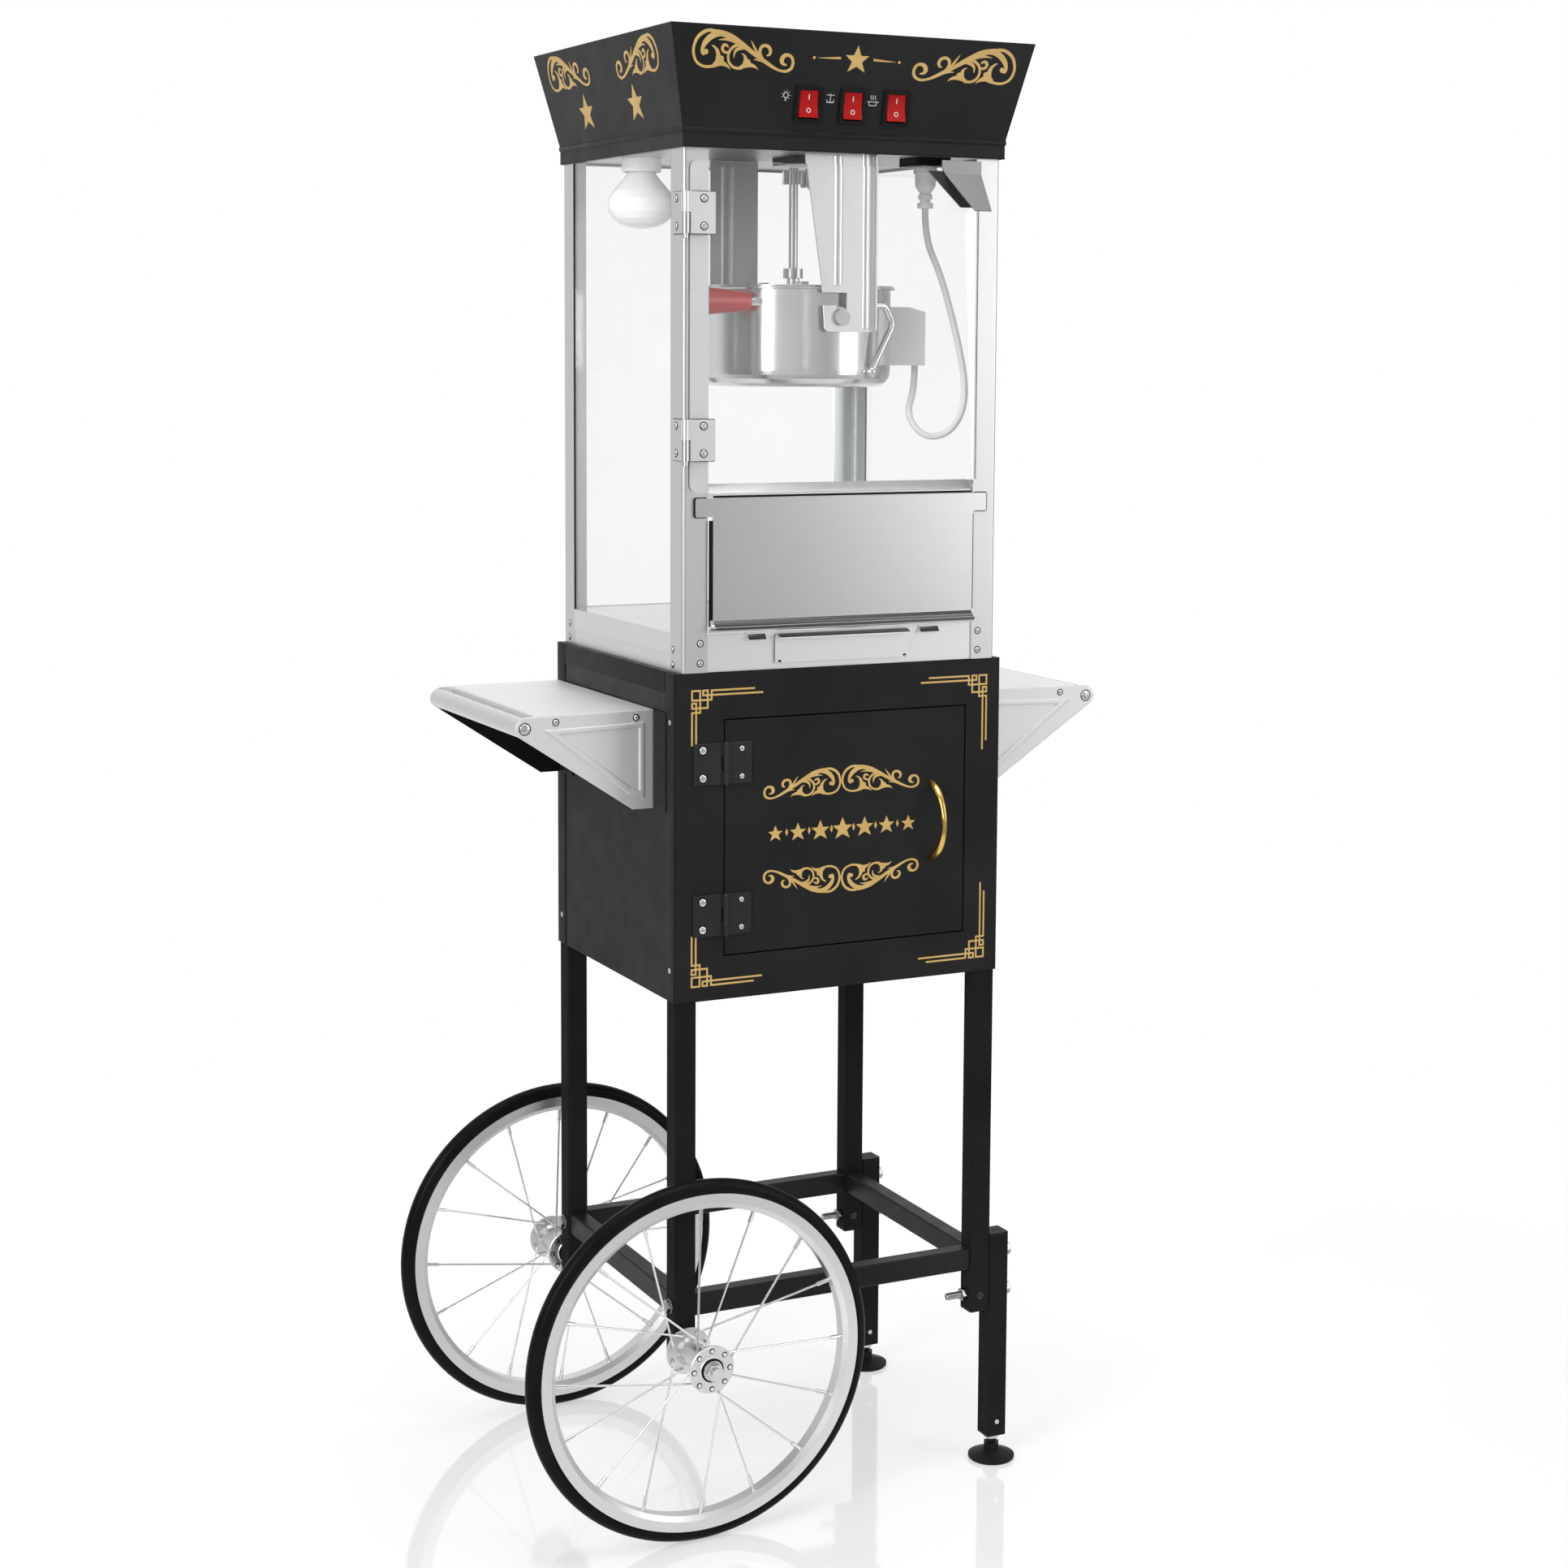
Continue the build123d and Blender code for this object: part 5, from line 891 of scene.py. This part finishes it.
bm = bmesh.new()
for z0 in (1174.0, 1413.0):
    pad(bm, lambda d, i: [P(-192.0 - d, y, z) for y, z in cut_corners(1.0 + i, 24.7 - i, z0 - 0.7 + i, z0 + 44.7 - i, 1.0)], (-0.05, 0.25, 0.4))
shade(from_bm("hinge_post_shade_pads", bm, "cart", M["rubber_line"]))
bm = bmesh.new()
for z0 in (1174.0, 1413.0):
    pad(bm, lambda d, i: [P(x, -5.2 - d, z) for x, z in cut_corners(-185.2 + i, -156.3 - i, z0 - 0.7 + i, z0 + 44.7 - i, 1.0)], (-0.05, 0.25, 0.4))
shade(from_bm("hinge_leaf_shade_pads", bm, "glass_door", M["rubber_line"]))

# dark rings under the screw heads: painted shadow round each head
bm = bmesh.new()
for z0 in (1174.0, 1413.0):
    for dz in (8, 37):
        lathe(bm, P(-193.6, 13.6, z0 + dz), (-1, 0, 0), [(3.2, -0.05), (4.4, -0.05), (4.5, 0.1), (4.3, 0.22), (3.2, 0.22), (3.2, -0.05)], 24)
bmesh.ops.remove_doubles(bm, verts=bm.verts, dist=1e-7)
shade(from_bm("hinge_post_shadow_rings", bm, "cart", M["rubber_line"]))
bm = bmesh.new()
for z0 in (1174.0, 1413.0):
    for dz in (8, 37):
        lathe(bm, P(-170.3, -6.8, z0 + dz), (0, -1, 0), [(3.4, -0.05), (4.6, -0.05), (4.7, 0.1), (4.5, 0.22), (3.4, 0.22), (3.4, -0.05)], 24)
bmesh.ops.remove_doubles(bm, verts=bm.verts, dist=1e-7)
shade(from_bm("hinge_leaf_shadow_rings", bm, "glass_door", M["rubber_line"]))
bm = bmesh.new()
for foot, out, rad in screw_feet["panel_screws"]:
    lathe(bm, foot, out, [(rad * 0.9, -0.05), (rad + 0.8, -0.05), (rad + 0.9, 0.1), (rad + 0.7, 0.22), (rad * 0.9, 0.22), (rad * 0.9, -0.05)], 24)
bmesh.ops.remove_doubles(bm, verts=bm.verts, dist=1e-7)
shade(from_bm("panel_screw_shadow_rings", bm, "cart", M["rubber_line"]))

# threads on the ends of the long frame bolts, and black screws in the right-hand legs' front faces
bm = bmesh.new()
for ym in (13.9, 333.1):
    prof = [(0.0, -12.0), (3.1, -12.0), (3.7, -11.35)]
    h = -10.95
    while h < 6.6:
        prof += [(4.18, h), (4.18, h + 0.15), (3.86, h + 0.6)]
        h += 1.1
    prof += [(3.7, 7.2), (0.0, 7.2)]
    lathe(bm, P(160.0, ym, 203.0), (1, 0, 0), prof, 28)
bmesh.ops.remove_doubles(bm, verts=bm.verts, dist=1e-7)
shade(from_bm("bolt_threads", bm, "cart", M["bolt"]))
bm = bmesh.new()
for y, z in ((1.4, 203.0), (320.6, 203.0)):
    screw_head(bm, P(186.2, y, z), (0, -1, 0), 4.6, 1.8)
shade(from_bm("leg_screws", bm, "cart", M["black_gloss"]))

# screws that hold the threaded inserts in the extension legs, and the feet's lock nuts
bm = bmesh.new()
for y in (1.4, 320.6):
    screw_head(bm, P(211.2, y, 46.9), (0, -1, 0), 2.9, 1.3)
shade(from_bm("insert_screws", bm, "cart", M["zinc"]))
for name, body, y in (("front_lock_nut", "front_foot_body", 13.9), ("rear_lock_nut", "rear_foot_body", 333.1)):
    bm = bmesh.new()
    lathe(bm, P(211.2, y, 24.4), (0, 0, 1), [(4.9, 0.0), (8.2, 0.0), (9.4, 0.7), (9.4, 4.6), (8.2, 5.3), (4.9, 5.3), (4.9, 0.0)], 6)
    bmesh.ops.remove_doubles(bm, verts=bm.verts, dist=1e-7)
    shade(from_bm(name, bm, body, M["zinc"]))

# bead round the canopy's bend
bead = [(-0.5, 1524.5), (0.6, 1523.8), (1.4, 1522.2), (1.6, 1520.5), (1.2, 1518.5), (-0.5, 1517.5)]
corners = []
for (x, y), a0 in (((194.5, 347.6), 0), ((-194.5, 347.6), 90), ((-194.5, -5.9), 180), ((194.5, -5.9), 270)):
    for k in range(5):
        corners.append((x, y, radians(a0 + 22.5 * k)))
bm = bmesh.new()
rows = [[bm.verts.new(P(x + o * cos(a), y + o * sin(a), z)) for o, z in bead] for x, y, a in corners]
for r0, r1 in zip(rows, rows[1:] + rows[:1]):
    for k in range(len(bead)):
        j = (k + 1) % len(bead)
        bm.faces.new((r0[k], r1[k], r1[j], r0[j]))
shade(from_bm("canopy_hem_bead", bm, "cart", M["canopy_coat"]), 60)

# white collar over the lamp holder
bm = bmesh.new()
lathe(bm, P(-138, 235, 1490.5), (0, 0, 1), [(19.2, 1.5), (20.2, 0.2), (21.6, 0.0), (22.2, 0.9), (22.6, 4.0), (22.6, 13.2), (23.4, 14.2), (23.4, 15.2), (22.6, 15.6), (19.4, 15.6), (19.2, 1.5)], 48)
bmesh.ops.remove_doubles(bm, verts=bm.verts, dist=1e-6)
shade(from_bm("lamp_collar", bm, "cart", M["lamp_collar"]))

# folds of the cabinet's sides and the skirt of its top tray
for side_name, s in (("left", -1), ("right", 1)):
    bm = bmesh.new()
    for y0, y1, z0, z1 in ((1.0, 24.6, 588.0, 946.4), (322.4, 346.0, 588.0, 946.4), (25.6, 321.4, 924.4, 946.4)):
        rim = []
        for out, inset in ((-0.3, 0.0), (0.45, 0.0), (0.75, 0.35), (0.85, 1.1)):
            rim.append([bm.verts.new(P(s * (200.0 + out), y, z)) for y, z in ((y0 + inset, z0 + inset), (y1 - inset, z0 + inset), (y1 - inset, z1 - inset), (y0 + inset, z1 - inset))])
        for lo, hi in zip(rim, rim[1:]):
            for k in range(4):
                bm.faces.new((lo[k], lo[(k + 1) % 4], hi[(k + 1) % 4], hi[k]))
        bm.faces.new(list(reversed(rim[0])))
        bm.faces.new(rim[-1])
    shade(from_bm(f"cabinet_folds_{side_name}", bm, "cart", M["black_coat"]))

# ---- wheels: dust seal and lock ring on each hub face, and dark rings round the spoke holes, painted shade of the holes ---
for name, ym in (("front", -37.3), ("rear", 384.3)):
    bm = bmesh.new()
    for out in (-1, 1):
        lathe(bm, P(-186.2, ym + out * 33.5, 200.95), (0, out, 0), [(6.3, -0.02), (13.2, -0.02), (13.2, 0.15), (12.4, 0.42), (10.9, 0.42), (10.4, 0.2), (6.3, 0.2), (6.3, -0.02)], 48)
    # eight dark rings round the spoke holes on each face: painted shade of the holes
    for out in (-1, 1):
        for k in range(8):
            a = radians(45 * k + (22.5 if out > 0 else 0))
            lathe(bm, P(-186.2 + 21.0 * cos(a), ym + out * 32.5, 200.95 + 21.0 * sin(a)), (0, out, 0), [(1.2, -0.02), (3.1, -0.02), (3.2, 0.1), (3.0, 0.25), (2.0, 0.3), (1.2, 0.3), (1.2, -0.02)], 20)
    bmesh.ops.remove_doubles(bm, verts=bm.verts, dist=1e-7)
    shade(from_bm(f"{name}_hub_seals_and_hole_shade", bm, f"{name}_wheel", M["black_plastic"]))

# ---- stage --------------------------------------------------------------------------------------
# white studio: a bright backdrop and ceiling, a dim room in front, two upright softboxes
me = bpy.data.meshes.new("floor")
seg, rings = 96, [0.0, 0.5, 1.0, 1.5, 2.2]
verts, faces = [(0, 0, 0)], []
for r in rings[1:]:
    verts += [(r * cos(2 * pi * k / seg), r * sin(2 * pi * k / seg), 0) for k in range(seg)]
for k in range(seg):
    j = (k + 1) % seg
    faces.append((0, 1 + k, 1 + j))
    for i in range(len(rings) - 2):
        faces.append((1 + i * seg + k, 1 + (i + 1) * seg + k, 1 + (i + 1) * seg + j, 1 + i * seg + j))
me.from_pydata(verts, [], faces)
floor = link("floor", me, None, None)
fm = Nodes("studio_floor")
fm.link(fm.ramp(fm.noise(2, 2), [(0.3, (0.40, 0.40, 0.40)), (0.7, (0.42, 0.42, 0.42))]), fm.b.inputs["Base Color"])
fm.set(Roughness=0.06, Specular_IOR_Level=0.9, Emission_Color=(1, 1, 1, 1), Emission_Strength=0.46)
# runs out into the white of the backdrop
where = fm.add("ShaderNodeTexCoord")
reach = fm.add("ShaderNodeVectorMath", operation="LENGTH")
fm.link(where.outputs["Object"], reach.inputs[0])
fade = fm.add("ShaderNodeMapRange", interpolation_type="SMOOTHERSTEP")
for k, v in (("From Min", 0.75), ("From Max", 2.0), ("To Min", 0.0), ("To Max", 1.0)):
    fade.inputs[k].default_value = v
fm.link(reach.outputs["Value"], fade.inputs["Value"])
clear = fm.add("ShaderNodeBsdfTransparent")
mix = fm.add("ShaderNodeMixShader")
fm.link(fade.outputs["Result"], mix.inputs["Fac"])
fm.link(fm.b.outputs["BSDF"], mix.inputs[1])
fm.link(clear.outputs["BSDF"], mix.inputs[2])
fm.link(mix.outputs["Shader"], fm.out.inputs["Surface"])
me.materials.append(fm.mat)

world = bpy.data.worlds.new("studio")
scene.world = world
world.use_nodes = True
wt = world.node_tree


def wnode(kind, **values):
    n = wt.nodes.new(kind)
    for k, v in values.items():
        if hasattr(n, k):
            setattr(n, k, v)
        else:
            n.inputs[k].default_value = v
    return n


def wramp(fac, stops):
    n = wnode("ShaderNodeValToRGB")
    while len(n.color_ramp.elements) < len(stops):
        n.color_ramp.elements.new(0.5)
    for e, (pos, v) in zip(n.color_ramp.elements, stops):
        e.position = pos
        e.color = (v, v, v, 1)
    wt.links.new(fac, n.inputs["Fac"])
    return n.outputs["Color"]


heading = wnode("ShaderNodeTexCoord")
ahead = wnode("ShaderNodeVectorMath", operation="DOT_PRODUCT")
wt.links.new(heading.outputs["Generated"], ahead.inputs[0])
ahead.inputs[1].default_value = (-0.2222, -0.4479, 0.0)  # half of the way to the front
shifted = wnode("ShaderNodeMath", operation="ADD")
shifted.inputs[1].default_value = 0.5
wt.links.new(ahead.outputs["Value"], shifted.inputs[0])
room = wramp(shifted.outputs[0], ROOM)


def flag(colour, direction, start, full, level):
    """Dims the room towards one side, as an upright black flag does."""
    d = wnode("ShaderNodeVectorMath", operation="DOT_PRODUCT")
    wt.links.new(heading.outputs["Generated"], d.inputs[0])
    d.inputs[1].default_value = direction
    m = wnode("ShaderNodeMix", data_type="RGBA", blend_type="MULTIPLY")
    m.inputs[0].default_value = 1.0
    wt.links.new(colour, m.inputs[6])
    wt.links.new(wramp(d.outputs["Value"], [(start, 1.0), (full, level)]), m.inputs[7])
    return m.outputs[2]


room = flag(room, (0.95, 0.31, 0.0), 0.74, 0.88, 0.35)
room = flag(room, (-1.0, 0.0, 0.0), 0.86, 0.95, 0.35)
height = wnode("ShaderNodeSeparateXYZ")
wt.links.new(heading.outputs["Generated"], height.inputs[0])
ceiling = wramp(height.outputs["Z"], [(0.55, 0.0), (0.95, 1.0)])
lift = wnode("ShaderNodeMix", data_type="RGBA")
wt.links.new(ceiling, lift.inputs[0])
wt.links.new(room, lift.inputs[6])
lift.inputs[7].default_value = (CEILING, CEILING, CEILING, 1)
ray = wnode("ShaderNodeLightPath")
turns = wnode("ShaderNodeMath", operation="ADD")
wt.links.new(ray.outputs["Diffuse Depth"], turns.inputs[0])
wt.links.new(ray.outputs["Glossy Depth"], turns.inputs[1])
seen = wnode("ShaderNodeMath", operation="LESS_THAN")  # looked at directly or through glass
wt.links.new(turns.outputs[0], seen.inputs[0])
seen.inputs[1].default_value = 0.5
white = wnode("ShaderNodeMix", data_type="RGBA")
wt.links.new(seen.outputs[0], white.inputs[0])
wt.links.new(lift.outputs[2], white.inputs[6])
white.inputs[7].default_value = (1.0, 1.0, 1.0, 1)
bg = wt.nodes["Background"]
wt.links.new(white.outputs[2], bg.inputs["Color"])
bg.inputs["Strength"].default_value = 1.0


def softbox(name, loc, target, w, h, power):
    d = bpy.data.lights.new(name, "AREA")
    d.shape = "RECTANGLE"
    d.size, d.size_y = w, h
    d.energy = power
    o = bpy.data.objects.new(name, d)
    scene.collection.objects.link(o)
    o.location = loc
    o.rotation_euler = (Vector(target) - Vector(loc)).to_track_quat("-Z", "Y").to_euler()
    return o


softbox("key", (-2.9, -1.7, 1.9), (0, 0, 1.0), 1.1, 2.2, 55)
softbox("fill", (2.15, -2.4, 1.65), (0, 0, 1.05), 1.3, 2.1, 23)
softbox("top", (0, -0.3, 3.4), (0, 0, 1.0), 2.2, 2.0, 45)
scene.view_settings.view_transform = "Standard"
scene.view_settings.look = "None"
